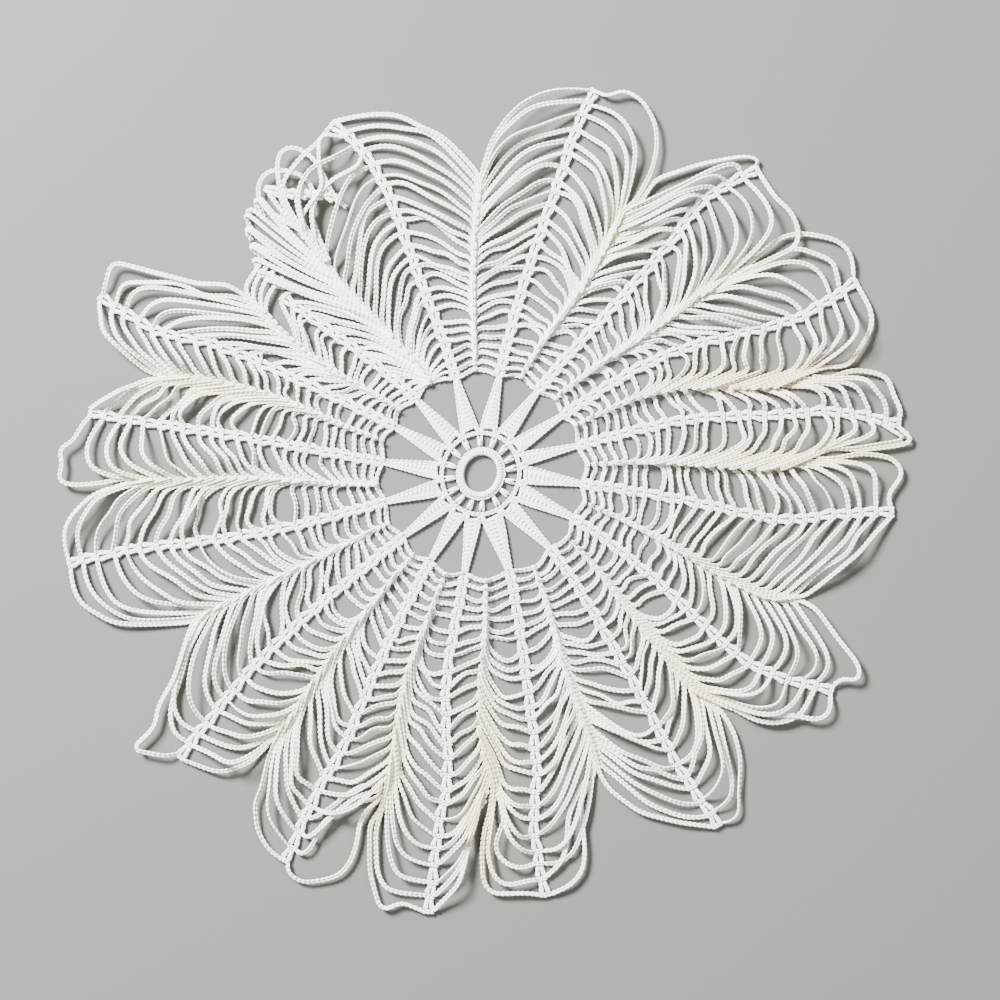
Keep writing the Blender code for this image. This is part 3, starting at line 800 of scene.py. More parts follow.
@dataclass(frozen=True)
class Cotton:
    """Crochet cotton: off-white thread of twisted plies, yellowed where it is old."""

    name: str = "cotton"
    white: tuple[float, float, float] = (0.82, 0.808, 0.768)
    cream: tuple[float, float, float] = (0.75, 0.675, 0.49)
    roughness: float = 0.8
    rough_range: float = 0.2    # how far the roughness differs from place to place
    specular: float = 0.3
    sheen: float = 0.25
    sheen_roughness: float = 0.5
    patches: tuple[float, float] = (38.0, 3.0)      # noise scale (in a metre) and detail: yellowed patches
    patchiness: float = 0.5
    mottle: tuple[float, float] = (900.0, 2.0)      # of lighter and darker stitches
    mottling: float = 0.22
    fibres: tuple[float, float] = (5200.0, 2.0)     # of the fuzz
    ply: float = 0.55           # length of a turn of the plies, mm
    ply_depth: float = 0.35     # their relief beside that of the fibres
    relief: float = 0.00012     # height of the bump, m
    relief_strength: float = 0.5

    def build(self) -> bpy.types.Material:
        """Make the material.

        Returns:
            The material, with its colour, roughness and bump from nodes.
        """
        material = bpy.data.materials.new(self.name)
        material.use_nodes = True
        tree = material.node_tree
        shader = tree.nodes["Principled BSDF"]
        shader.inputs["Metallic"].default_value = 0.0
        shader.inputs["Sheen Weight"].default_value = self.sheen
        shader.inputs["Sheen Roughness"].default_value = self.sheen_roughness
        shader.inputs["Specular IOR Level"].default_value = self.specular
        where = tree.nodes.new("ShaderNodeTexCoord")
        age = tree.nodes.new("ShaderNodeAttribute")
        age.attribute_name = "age"
        patches, mottle, fibres = (self.noise(tree, where.outputs["Object"], scale, detail)
                                   for scale, detail in (self.patches, self.mottle, self.fibres))
        aged = self.sums(tree, "MULTIPLY_ADD", patches, self.patchiness, -self.patchiness / 2.0)
        yellow = self.sums(tree, "ADD", age.outputs["Fac"], aged)
        tint = self.blend(tree, yellow, (*self.white, 1.0), (*self.cream, 1.0))
        shade = self.sums(tree, "MULTIPLY_ADD", mottle, self.mottling, 1.0 - self.mottling / 2.0)
        colour = tree.nodes.new("ShaderNodeVectorMath")
        colour.operation = "SCALE"
        tree.links.new(tint, colour.inputs[0])
        tree.links.new(shade, colour.inputs["Scale"])
        tree.links.new(colour.outputs["Vector"], shader.inputs["Base Color"])
        smoothest = self.roughness - self.rough_range / 2.0
        rough = self.sums(tree, "MULTIPLY_ADD", mottle, self.rough_range, smoothest)
        tree.links.new(rough, shader.inputs["Roughness"])
        tree.links.new(self.bump(tree, fibres), shader.inputs["Normal"])
        return material

    def noise(self, tree: bpy.types.NodeTree, where: bpy.types.NodeSocket, scale: float,
              detail: float) -> bpy.types.NodeSocket:
        """Add a noise.

        Args:
            tree: The material's nodes.
            where: The coordinates that it is read at.
            scale: How fine it is.
            detail: How many finer noises it holds.

        Returns:
            The noise, from 0 to 1.
        """
        node = tree.nodes.new("ShaderNodeTexNoise")
        node.inputs["Scale"].default_value = scale
        node.inputs["Detail"].default_value = detail
        tree.links.new(where, node.inputs["Vector"])
        return node.outputs["Fac"]

    def sums(self, tree: bpy.types.NodeTree, operation: str, *terms: bpy.types.NodeSocket | float
             ) -> bpy.types.NodeSocket:
        """Add a Math node on sockets and plain numbers.

        Args:
            tree: The material's nodes.
            operation: What it does.
            terms: Its inputs, in order.

        Returns:
            Its result.
        """
        node = tree.nodes.new("ShaderNodeMath")
        node.operation = operation
        for socket, term in zip(node.inputs, terms):
            if isinstance(term, (int, float)):
                socket.default_value = term
            else:
                tree.links.new(term, socket)
        return node.outputs[0]

    def blend(self, tree: bpy.types.NodeTree, part: bpy.types.NodeSocket,
              low: tuple[float, ...], high: tuple[float, ...]) -> bpy.types.NodeSocket:
        """Add a ramp between two colours.

        Args:
            tree: The material's nodes.
            part: Where on the ramp, from 0 to 1.
            low: The colour at 0.
            high: The colour at 1.

        Returns:
            The colour.
        """
        node = tree.nodes.new("ShaderNodeValToRGB")
        node.color_ramp.elements[0].color = low
        node.color_ramp.elements[1].color = high
        tree.links.new(part, node.inputs["Fac"])
        return node.outputs["Color"]

    def bump(self, tree: bpy.types.NodeTree, fibres: bpy.types.NodeSocket) -> bpy.types.NodeSocket:
        """Add the twist of the plies along each stroke, with the fuzz of its fibres.

        Args:
            tree: The material's nodes.
            fibres: The noise of the fuzz.

        Returns:
            The normal.
        """
        lay = tree.nodes.new("ShaderNodeUVMap")
        lay.uv_map = "thread"
        apart = tree.nodes.new("ShaderNodeSeparateXYZ")
        tree.links.new(lay.outputs["UV"], apart.inputs[0])
        along = self.sums(tree, "MULTIPLY", apart.outputs["X"], 2.0 * math.pi / self.ply)
        turn = self.sums(tree, "MULTIPLY_ADD", apart.outputs["Y"], 4.0 * math.pi, along)
        plies = self.sums(tree, "SINE", turn)
        height = self.sums(tree, "MULTIPLY_ADD", plies, self.ply_depth, fibres)
        node = tree.nodes.new("ShaderNodeBump")
        node.inputs["Strength"].default_value = self.relief_strength
        node.inputs["Distance"].default_value = self.relief
        tree.links.new(height, node.inputs["Height"])
        return node.outputs["Normal"]


@dataclass
class Middle:
    """The padded ring, the round of posts, the chain round and the sixteen spokes."""

    chart: Chart
    hole: float = 5.05          # radius of the middle hole
    seam: float = 6.75          # where the ring's stitches end under their chain of tops
    tops: float = 7.25
    post_foot: float = 7.5
    post_top: float = 11.6
    chain: float = 12.0
    spoke_foot: float = 13.85
    # How far the rounds are pulled outward, towards which angle, and how many times in a round.
    swings: tuple[tuple[float, float, int], ...] = ((0.6, 138.0, 1), (0.37, 72.0, 2))
    ring_stitches: int = 46
    ring_lean: float = 0.3      # how far a stitch of the ring leans to its ridge, in stitches
    ring_heights: tuple[float, float, float] = (0.8, 2.0, 1.35)     # of its inner edge, ridge and outer edge
    ring_threads: tuple[float, float] = (0.46, 0.44)                # half its thickness over and under
    ring_from: tuple[float, float] = (0.15, 0.3)    # where its strands start outside the hole, over and under
    ring_to: float = 0.3        # where they end outside the seam
    under_heights: tuple[float, float] = (0.5, 0.6)     # of the ends of the under strands
    ridge_scale: float = 1.03   # how far the outer strand starts beyond the ridge, as a scale
    cord_overlap: float = 0.5   # how far a cord's strokes run on, as a share of their length
    padding: tuple[tuple[float, float], ...] = ((1.0, 0.7), (1.5, 0.62))    # cords: height, half thickness
    seam_cord: tuple[float, float] = (0.95, 0.5)        # the same for the cord on the seam
    tops_height: float = 1.3
    tops_scale: float = 0.78
    post_heights: tuple[float, float] = (0.9, 0.95)     # of its foot and top
    post_lean: float = 0.8      # how far a post's foot follows its top round the ring
    post_halves: tuple[float, float, float] = (0.27, 0.55, 0.4)     # of its foot, top and wrap
    post_thread: float = 0.5    # half the thickness of its strands
    wrap_to: tuple[float, float] = (0.8, 0.3)       # where the wrap ends along the post, and how far aside
    wrap_lift: float = 0.25
    chain_points: int = 48      # of each closed round
    chain_height: float = 1.05
    chain_scale: float = 0.9
    spoke_shares: tuple[float, ...] = (0.0, 0.25, 0.5, 0.75, 1.0)       # stations from its foot to its point
    spoke_halves: tuple[float, ...] = (2.0, 1.72, 1.2, 0.75, 0.32)      # half its width there
    spoke_heights: tuple[float, float] = (0.9, 0.85)    # of its foot and point
    spoke_crown: float = 0.25   # how much higher its middle lies
    spoke_tilt: float = 0.35    # how far its first rows slant
    tilted: float = 5.0         # one over the part of its length on which they do
    bar_step: float = 1.28      # from one post across a spoke to the next
    bar_scale: float = 1.25
    bar_drop: float = 0.12      # how far these posts lie under the edge chains
    bar_reach: float = 0.15     # and how far they run on past the middles of these
    edge_scale: float = 0.86
    edge_inset: float = 0.4     # from a spoke's corner to where its edge chain starts
    corner_at: tuple[float, float] = (0.9, 0.95)    # how far it lies outside the chain round, its height
    foot_thread: float = 0.6    # half the thickness of the strands that tie a spoke to the chain round
    foot_from: tuple[float, float] = (0.9, 0.3)     # how far inward and inside its corner they start
    foot_to: tuple[float, float] = (0.3, 0.55)      # how far outward and inside its edge they end
    thick_spoke: int = 13       # this spoke is wider than its share of the round
    thicker: float = 0.12       # by this much
    thread: Thread = field(default_factory=Thread)

    def at(self, angle: float, radius: float, height: float) -> np.ndarray:
        """A point of the middle, which has been pulled out of round."""
        pulled = sum(swing * math.cos(math.radians(times * (angle - toward)))
                     for swing, toward, times in self.swings)
        return polar(angle, radius + pulled, height)

    def circle(self, radius: float, height: float, points: int) -> np.ndarray:
        """A closed round of points."""
        return np.array([self.at(360.0 * index / points, radius, height) for index in range(points + 1)])

    def build_ring(self) -> None:
        """Work the ring: close stitches over a padding cord, with a chain of tops round them."""
        step, middle = 360.0 / self.ring_stitches, (self.hole + self.seam) / 2.0
        inner, ridge, outer = self.ring_heights
        over_thread, under_thread = self.ring_threads
        over_from, under_from = self.ring_from
        end = self.seam + self.ring_to
        low, high = self.under_heights
        for index in range(self.ring_stitches):
            angle = index * step
            edge = self.at(angle, self.hole + over_from, inner)
            over = self.at(angle + self.ring_lean * step, middle, ridge)
            top = self.at(angle + 2.0 * self.ring_lean * step, end, outer)
            heads = np.array([over * self.ridge_scale, top])
            self.thread.strokes(np.array([edge, over]), heads, UP, over_thread)
            under, back = self.at(angle, self.hole + under_from, low), self.at(angle, end, high)
            self.thread.strokes(np.array([under]), np.array([back]), UP, under_thread)
        cords = [(middle, *cord) for cord in self.padding] + [(self.seam, *self.seam_cord)]
        for radius, height, girth in cords:
            cord = self.circle(radius, height, self.chain_points)
            heads = cord[1:] + (cord[1:] - cord[:-1]) * self.cord_overlap
            self.thread.strokes(cord[:-1], heads, UP, girth)
        tops = self.circle(self.tops, self.tops_height, self.chain_points)
        ChainStitch().work(self.thread, tops, tight=self.tops_scale)

    def build_posts(self) -> None:
        """Work the sixteen posts, which splay at their tops, and the chain round on them."""
        even = 360.0 / COUNT
        start = PETALS[0].root - even / 2.0
        low, high = self.post_heights
        foot_half, top_half, wrap_half = self.post_halves
        wrap_end, aside = self.wrap_to
        for index in range(COUNT):
            lean = near(VALLEYS[index - 1].foot, start + index * even)
            rooted = mix(start + index * even, lean, self.post_lean)
            foot, top = self.at(rooted, self.post_foot, low), self.at(lean, self.post_top, high)
            left = unit(np.cross(UP, top - foot))
            tails = np.array([foot + left * foot_half, foot - left * foot_half, foot + left * wrap_half])
            heads = np.array([top + left * top_half, top - left * top_half,
                              mix(foot, top, wrap_end) - left * aside])
            tails[2, 2] += self.wrap_lift
            heads[2, 2] += self.wrap_lift
            self.thread.strokes(tails, heads, UP, self.post_thread)
        chain = self.circle(self.chain, self.chain_height, self.chain_points)
        ChainStitch().work(self.thread, chain, tight=self.chain_scale)

    def build_spokes(self) -> None:
        """Work the spokes, each as wide as its share of the round."""
        even = 360.0 / COUNT
        for petal in range(COUNT):
            root = PETALS[petal].root
            share = (near(VALLEYS[petal].foot, root) - near(VALLEYS[petal - 1].foot, root)) / even
            self.build_spoke(petal, share + (self.thicker if petal == self.thick_spoke else 0.0))

    def spoke_half(self, share: float) -> float:
        """Half the width of a spoke between the middles of its edge chains, from its foot to its point."""
        return through(self.spoke_shares, self.spoke_halves, share)

    def build_spoke(self, petal: int, thick: float) -> None:
        """Work one spoke: posts across it, ever shorter towards its point, between two edge chains.

        Args:
            petal: The petal at its point.
            thick: Scale of its width.
        """
        chain, post, root = ChainStitch(), Post(), PETALS[petal].root
        feet = {1: near(VALLEYS[petal].foot, root), -1: near(VALLEYS[petal - 1].foot, root)}
        middle = self.at((feet[-1] + feet[1]) / 2.0, self.spoke_foot, self.spoke_heights[0])
        run = polar(root, self.chart.root_radius, self.spoke_heights[1]) - middle
        outward = unit(run)
        left = np.cross(UP, outward)
        count = round(float(np.linalg.norm(run)) / self.bar_step)
        (outside, height), (back, start), (ahead, end) = self.corner_at, self.foot_from, self.foot_to
        edges: dict[int, list[np.ndarray]] = {1: [], -1: []}
        for index in range(count + 1):
            share = index / count
            half = self.spoke_half(share) * thick
            centre = middle + run * share + UP * (self.spoke_crown * math.sin(math.pi * share))
            tilt = -outward * self.spoke_tilt * (1.0 - min(share * self.tilted, 1.0))
            for sign, edge in edges.items():
                edge.append(centre + (left * half + tilt) * sign)
            if index < count:
                arm, low = left * (half + self.bar_reach) + tilt, UP * self.bar_drop
                post.work(self.thread, centre - arm - low, centre + arm - low, scale=self.bar_scale)
        for sign, edge in edges.items():
            corner = self.at(feet[sign], self.chain + outside, height)
            tails = np.array([corner - outward * back - left * sign * start])
            heads = np.array([edge[0] - left * sign * end + outward * ahead])
            self.thread.strokes(tails, heads, UP, self.foot_thread)
            route = np.array([corner - left * sign * self.edge_inset] + edge)
            chain.work(self.thread, route if sign > 0 else route[::-1], tight=self.edge_scale)

    def build(self) -> Thread:
        """Work the whole middle.

        Returns:
            Its thread.
        """
        self.build_ring()
        self.build_posts()
        self.build_spokes()
        return self.thread


@dataclass
class Drift:
    """How chains stray from their even arcs: the gaps between them grow and shrink, but stay open."""

    random: np.random.Generator
    follow: float = 0.5         # how far each round follows the one before
    free: tuple[float, float] = (0.35, 0.65)    # how freely the gaps change, in the first and later rounds
    free_rounds: tuple[float, float] = (0.0, 10.0)  # from which round that grows, and over how many
    free_fade: tuple[float, float] = (2.0, 4.0)     # how far before the last round that ends, its fade
    tight: float = 1.2          # least distance between neighbours, mm
    uneven: float = 1.5         # the lower, the more the gaps differ
    widest: float = 2.2         # the widest gap, as a share of the mean one
    shoulder: float = 1.2       # spread of the shoulders, mm
    waves: tuple[float, ...] = (0.5, 0.32, 0.2)     # spread of the heights of the waves, mm
    young: float = 0.5          # shoulders and waves in the first round, as a share
    wave_rounds: tuple[float, float] = (0.0, 11.0)
    bulge: float = 0.0
    state: np.ndarray = field(default_factory=lambda: np.zeros(4))

    def step(self, turn: int, pitch: float, last: int) -> np.ndarray:
        """The next round's shoulder shift, bulge and wave heights.

        Args:
            turn: The round.
            pitch: Its distance from the round inside it.
            last: The outermost round.

        Returns:
            Five lengths in millimetres.
        """
        fresh = self.random.normal(0.0, 1.0, len(self.state))
        self.state = self.follow * self.state + math.sqrt(1.0 - self.follow ** 2) * fresh
        before, fade = self.free_fade
        free = mix(*self.free, grown(turn, *self.free_rounds)) * smooth((last - before - turn) / fade)
        share = min(float(self.random.gamma(self.uneven, 1.0 / self.uneven)), self.widest)
        gap = (pitch - self.tight) * (share - 1.0)
        self.bulge = max(self.follow * self.bulge + free * gap, self.bulge - pitch + self.tight)
        spreads = self.state * np.array((self.shoulder, *self.waves))
        spreads = spreads * mix(self.young, 1.0, grown(turn, *self.wave_rounds))
        return np.array((spreads[0], self.bulge, *spreads[1:]))


@dataclass
class PetalWork:
    """One petal: its plaited rib, the chain arcs to both sides, and the valley on its left."""

    chart: Chart
    petal: int
    random: np.random.Generator
    thread: Thread
    arch: float = 1.5           # how far the innermost chains arch outward
    arch_rounds: tuple[float, float] = (0.0, 6.0)   # from which round that goes, and over how many
    hook: float = 0.9           # how far a chain runs outward where it leaves the rib
    hook_spread: float = 0.5    # how much that differs, as a share
    hook_rounds: tuple[float, float] = (2.0, 6.0)   # from which round it grows, and over how many
    sag: float = 0.3            # how far the middle chains' corners lie towards the valley's stitches
    reach_out: tuple[float, float] = (0.7, 0.9)     # how near an even arc and one at the rim come to their
    reach_in: tuple[float, float] = (0.5, 0.75)     # corner: on the rib's side, and on the valley's side
    rib_lift: float = 0.85      # height of the middle of the rib's posts
    first_lofted: int = 8       # the first round that stands off the table
    loft_spread: float = 0.4    # how much the lofts differ, as a share
    kink: float = 0.7           # spread of the height of a chain's kink, mm
    kink_at: tuple[float, float] = (0.2, 0.8)
    kink_half: float = 0.18     # half its length, as a share of the chain
    kink_rounds: tuple[float, float] = (3.0, 8.0)
    arc_points: int = 25
    bundle_step: float = 1.5    # between the points inside a bundle, mm
    spacing: float = 0.8        # between the points of a route, mm
    roll: float = 35.0          # spread of how far a chain is turned about itself at its ends, degrees
    aged_from: float = 45.0     # radius from which the cotton is yellowed
    aged_over: float = 35.0     # over what length that grows
    aged: tuple[float, float] = (0.25, 0.95)    # how yellowed it is outside and inside a band
    aged_band: float = 3.0      # half width of a band that is yellowed in full

    def corner(self, side: Side, turn: int, wander: float) -> tuple[np.ndarray, float]:
        """The corner that a round's arc turns round.

        Args:
            side: Which half of the petal.
            turn: The round.
            wander: How far outward it strays.

        Returns:
            The corner, and how far the arc has the rim's shape, from 0 to 1.
        """
        chart, row = self.chart, PETALS[self.petal]
        rim = row.left if side is LEFT else row.right
        notch = near(VALLEYS[chart.valley_of(self.petal, side)].notch, row.tip)
        across_rim = (near(rim.angle, row.tip) - notch) / (row.tip - notch)
        part = smooth((turn - chart.shoulder_round) / (chart.last - chart.shoulder_round))
        across = mix(chart.middle_shoulder, across_rim, part)
        radius = chart.rib_radius(self.petal, turn)
        release = chart.release_radius(self.petal, side, turn)
        end = chart.bundled(self.petal, side, turn, release)
        foot = near(math.degrees(math.atan2(end[1], end[0])), row.tip)
        angle = mix(foot, chart.rib_angle(self.petal, radius), across)
        arched = self.arch * (1.0 - grown(turn, *self.arch_rounds))
        arched = arched - self.sag * (1.0 - part) * max(radius - release, 0.0)
        return polar(angle, radius + arched + (rim.reach - row.reach) * part + wander, chart.lying), part

    def arc(self, side: Side, turn: int, drift: np.ndarray) -> np.ndarray:
        """A round's chain from the rib to where it joins the bundle in the valley.

        Args:
            side: Which half of the petal.
            turn: The round.
            drift: How it strays from its even arc.

        Returns:
            Points of its middle line.
        """
        chart = self.chart
        start = chart.rib_edge(self.petal, side, turn)
        end = chart.bundled(self.petal, side, turn, chart.release_radius(self.petal, side, turn))
        corner, part = self.corner(side, turn, float(drift[0]))
        hooked = unit(start * LEVEL) * self.hook * grown(turn, *self.hook_rounds)
        hooked = hooked * abs(float(self.random.normal(1.0, self.hook_spread)))
        first = mix(start, corner, mix(*self.reach_out, part * part)) + hooked
        second = mix(end, corner, mix(*self.reach_in, part * part))
        t = np.linspace(0.0, 1.0, self.arc_points)[:, None]
        weights = (1 - t) ** 3, 3 * (1 - t) ** 2 * t, 3 * (1 - t) * t ** 2, t ** 3
        curve = sum(weight * handle for weight, handle in zip(weights, (start, first, second, end)))
        along = t[:, 0]
        loft = self.loft(turn) * abs(float(self.random.normal(1.0, self.loft_spread)))
        curve[:, 2] += loft * np.sin(math.pi * along)
        waves = [size * np.sin(math.pi * (wave + 1) * along) for wave, size in enumerate(drift[1:])]
        kink = self.random.normal(0.0, self.kink) * grown(turn, *self.kink_rounds)
        place = self.random.uniform(*self.kink_at)
        waves.append(kink * np.clip(1.0 - np.abs(along - place) / self.kink_half, 0.0, 1.0))
        return curve + np.sum(waves, axis=0)[:, None] * unit(curve * LEVEL)

    def strayed(self, stray: Stray) -> np.ndarray:
        """The free stretch of a chain that has strayed.

        Args:
            stray: The points of its way.

        Returns:
            Points of its middle line, from the rib to the bundle in the valley.
        """
        chart, turn = self.chart, stray.turn
        start = chart.rib_edge(self.petal, stray.side, turn)
        end = chart.bundled(self.petal, stray.side, turn, chart.release_radius(self.petal, stray.side, turn))
        way = np.array([start, *[(x, y, stray.height) for x, y in stray.way], end])
        return eased(way, self.spacing, passes=5, least=8)

    def route(self, side: Side, turn: int, curve: np.ndarray) -> np.ndarray:
        """A round's whole chain: its free stretch, and its stretch inside the bundle down to its stitch.

        Args:
            side: Which half of the petal.
            turn: The round.
            curve: Its free stretch.

        Returns:
            Points of its middle line.
        """
        chart = self.chart
        release = chart.release_radius(self.petal, side, turn)
        stitch = chart.stitch_radius(self.petal, side, turn)
        runs = max(2, round((release - stitch) / self.bundle_step))
        inside = [chart.bundled(self.petal, side, turn, mix(release, stitch, index / runs))
                  for index in range(1, runs + 1)]
        return eased(np.concatenate([curve, np.array(inside)]), self.spacing, passes=2, least=12)

    def loft(self, turn: int) -> float:
        """How far the middle of a round's arc is lifted.

        Args:
            turn: The round.

        Returns:
            The lift, which grows to the outermost round.
        """
        if turn < self.first_lofted:
            return Loft.LYING.value
        part = (turn - self.first_lofted) / (self.chart.last - self.first_lofted)
        return mix(Loft.LOOSE.value, Loft.FREE.value, smooth(part))

    def age(self, side: Side, route: np.ndarray) -> np.ndarray:
        """How yellowed a chain is: most in the wide bands, towards the rim.

        Args:
            side: Which half of the petal it belongs to.
            route: Points of its middle line.

        Returns:
            From 0 to 1, one a point.
        """
        chart, valley = self.chart, self.chart.valley_of(self.petal, side)
        wide = VALLEYS[valley].half_width
        radius = np.linalg.norm(route[:, :2], axis=1)
        angles = np.degrees(np.arctan2(route[:, 1], route[:, 0]))
        lines = np.array([near(chart.valley_angle(valley, far), angle) for far, angle in zip(radius, angles)])
        away = np.abs(np.radians(angles - lines)) * radius
        # In full to 0.75 mm past the band's edge, and gone 1.5 mm further on.
        banded = np.clip(1.5 + (wide - away) / 1.5, 0.0, 1.0) * min(wide / self.aged_band, 1.0)
        outer = np.clip((radius - self.aged_from) / self.aged_over, 0.0, 1.0)
        least, most = self.aged
        return outer * (least + (most - least) * banded)

    def build_arcs(self) -> None:
        """Work the chains to both sides of the rib."""
        chain, chart = ChainStitch(), self.chart
        strays = {(stray.side, stray.turn): stray for stray in STRAYS if stray.petal == self.petal}
        for side in Side:
            drift = Drift(self.random)
            for turn in range(chart.rounds):
                pitch = chart.rib_radius(self.petal, turn) - chart.rib_radius(self.petal, turn - 1)
                shift = drift.step(turn, max(pitch, drift.tight), chart.last)
                if self.petal == chart.folded and turn > chart.fold_round:
                    continue
                stray = strays.get((side, turn))
                curve = self.strayed(stray) if stray else self.arc(side, turn, shift)
                route = self.route(side, turn, curve)
                rolls = self.random.normal(0.0, self.roll, 2)
                if side is RIGHT:
                    route = route[::-1]
                chain.work(self.thread, route, (float(rolls[0]), float(rolls[1])), self.age(side, route))

    def build_rib(self) -> None:
        """Work the rib: two posts a round, which splay, and the two stitches on top of them."""
        chart = self.chart
        rounds = chart.fold_round + 1 if self.petal == chart.folded else chart.rounds
        points = [chart.rib_point(self.petal, turn) + UP * self.rib_lift for turn in range(rounds)]
        Plait().work(self.thread, points)

    def build_knots(self) -> None:
        """Work the stitches in the valley on the left."""
        knot, chart = Knot(), self.chart
        for turn in range(chart.rounds):
            radius = chart.stitch_radius(self.petal, LEFT, turn)
            place = chart.bundled(self.petal, LEFT, turn, radius)
            knot.work(self.thread, place, unit(place * LEVEL))

    def build(self) -> None:
        """Work the whole petal."""
        self.build_arcs()
        self.build_rib()
        self.build_knots()
        if self.petal == self.chart.folded:
            FoldedTip(self.chart, self.petal, self.random, self.thread).build()


@dataclass
class FoldedTip:
    """The outer end of the folded petal: chains that turn under at the fold, and loops that stick out."""

    chart: Chart
    petal: int
    random: np.random.Generator
    thread: Thread
    fold: tuple[tuple[float, float], ...] = (
        (-62.5, 57.0), (-66.8, 60.2), (-69.0, 65.5), (-70.2, 72.3), (-71.1, 78.6), (-68.4, 82.5),
        (-65.7, 85.5))
    chains: int = 13
    leaves: tuple[float, float] = (57.5, 80.0)      # how far out the first and last chain leave the valley
    run: float = 8.0                                # how far they run along the valley
    steps: tuple[tuple[float, float, float], ...] = (
        (1.0, 0.0, 0.8), (0.5, 0.3, 1.3), (0.0, 0.7, 1.8))  # share of the run, degrees aside, and height
    under: tuple[float, float] = (-50.0, 62.0)      # where the ends lie under the fold
    fold_height: float = 2.2
    stacked: float = 0.9                            # how much higher every second chain folds
    slots: int = 4                                  # points of the fold for each chain
    slot_spread: float = 1.1                        # how far a chain strays from its own point
    sway: tuple[float, float] = (0.5, 0.8)          # how far they sway aside on their way: mean and spread
    sway_at: tuple[float, ...] = (0.3, 0.55, 0.8)   # shares of their way
    bulge: float = 0.6                              # how much higher the chains lie on their way
    turned: tuple[float, float] = (0.2, 0.8)        # how far outside and below the fold they turn
    underneath: tuple[float, float] = (2.0, 7.0)    # how far they run back under the fold
    end_aside: float = 2.6                          # how far aside they end there
    spacing: float = 0.7                            # between the points of a route, mm
    roll: float = 30.0                              # spread of how far a chain is turned at its ends
    ages: tuple[float, float] = (0.3, 0.2)          # how yellowed the chains and the loops are
    loop_rolls: tuple[float, float] = (-20.0, 25.0)
    rib_height: float = 2.9
    folded_rib: tuple[tuple[float, float], ...] = (
        (-65.4, 85.8), (-59.2, 84.1), (-55.5, 83.9), (-51.8, 83.7), (-47.0, 83.7), (-43.6, 82.4))
    # The loops, point by point with their heights: two that stick out past the fold, four chains that
    # hang from the rib, and four that swing out at the fold's foot.
    loops: tuple[tuple[tuple[float, float, float], ...], ...] = (
        ((-54.0, 73.0, 2.4), (-64.0, 79.0, 2.6), (-67.0, 82.4, 2.6), (-66.7, 87.8, 3.0), (-63.9, 90.8, 3.4),
         (-60.6, 91.2, 3.4), (-55.1, 90.2, 3.2), (-52.4, 88.5, 3.0), (-50.4, 85.7, 2.6), (-50.0, 78.0, 2.0)),
        ((-53.0, 72.0, 2.4), (-58.0, 80.0, 3.0), (-60.6, 86.4, 3.6), (-61.2, 93.9, 3.8), (-59.6, 97.3, 3.8),
         (-56.5, 98.0, 3.6), (-53.1, 96.9, 3.4), (-49.1, 93.2, 3.4), (-47.0, 88.5, 3.6), (-43.6, 82.4, 3.4),
         (-40.9, 80.3, 2.6)),
        ((-64.0, 84.6, 3.2), (-60.0, 79.0, 3.2), (-54.5, 73.5, 2.8), (-49.5, 66.0, 2.2)),
        ((-60.5, 83.6, 3.2), (-57.0, 76.5, 3.0), (-52.0, 70.5, 2.6), (-48.0, 64.5, 2.2)),
        ((-55.5, 83.2, 3.2), (-54.5, 77.0, 3.0), (-50.5, 70.5, 2.6), (-47.0, 64.0, 2.2)),
        ((-50.5, 83.0, 3.0), (-51.2, 77.5, 2.8), (-48.8, 71.0, 2.6), (-46.0, 64.5, 2.2)),
        ((-59.5, 59.5, 1.6), (-62.8, 55.8, 2.0), (-64.4, 52.6, 2.2), (-65.1, 48.9, 2.0), (-63.2, 45.0, 1.6),
         (-58.7, 41.1, 1.2), (-55.0, 38.4, 0.9)),
        ((-62.0, 61.5, 1.6), (-65.2, 57.6, 2.4), (-66.6, 52.6, 2.4), (-65.1, 46.8, 2.0), (-60.6, 42.2, 1.4),
         (-56.5, 39.4, 1.0)),
        ((-64.0, 63.0, 1.6), (-67.4, 58.6, 2.2), (-68.9, 54.0, 2.2), (-67.2, 49.6, 2.0), (-62.5, 44.3, 1.6),
         (-58.2, 40.9, 1.2)),
        ((-66.0, 64.0, 1.4), (-69.3, 58.8, 1.8), (-71.2, 56.2, 1.8), (-69.9, 52.9, 1.8), (-65.9, 47.9, 1.6),
         (-60.5, 43.4, 1.3)),
    )

    def build_fold(self) -> None:
        """Work the chains of the right half, side by side, that turn under at the fold."""
        chart, chain = self.chart, ChainStitch()
        valley = chart.valley_of(self.petal, RIGHT)
        outside, below = self.turned
        edge = resample(np.array([(x, y, self.fold_height) for x, y in self.fold]), self.slots * self.chains)
        for index in range(self.chains):
            part = (index + 0.5) / self.chains
            radius = mix(*self.leaves, part)
            caught = []
            for share, off, height in self.steps:
                back = radius - self.run * share
                caught.append(polar(chart.valley_angle(valley, back) + off, back, height))
            place = self.slots * (index + 0.5) + float(self.random.normal(0.0, self.slot_spread))
            over = edge[int(min(max(place, 0.0), len(edge) - 1.0))] + UP * (self.stacked * (index % 2))
            inward = unit(np.array((*self.under, over[2])) - over)
            aside = np.cross(inward, UP)
            sway = aside * float(self.random.normal(*self.sway))
            middle = [mix(caught[-1], over, share) + sway * math.sin(math.pi * share) + UP * self.bulge
                      for share in self.sway_at]
            turned = over + aside - inward * outside - UP * below
            end = over + inward * float(self.random.uniform(*self.underneath)) + aside * self.end_aside
            end[2] = chart.lying
            route = eased(np.array([*caught, *middle, over, turned, end]), self.spacing, passes=6)
            rolls = self.random.normal(0.0, self.roll, 2)
            chain.work(self.thread, route, (float(rolls[0]), float(rolls[1])), self.ages[0])

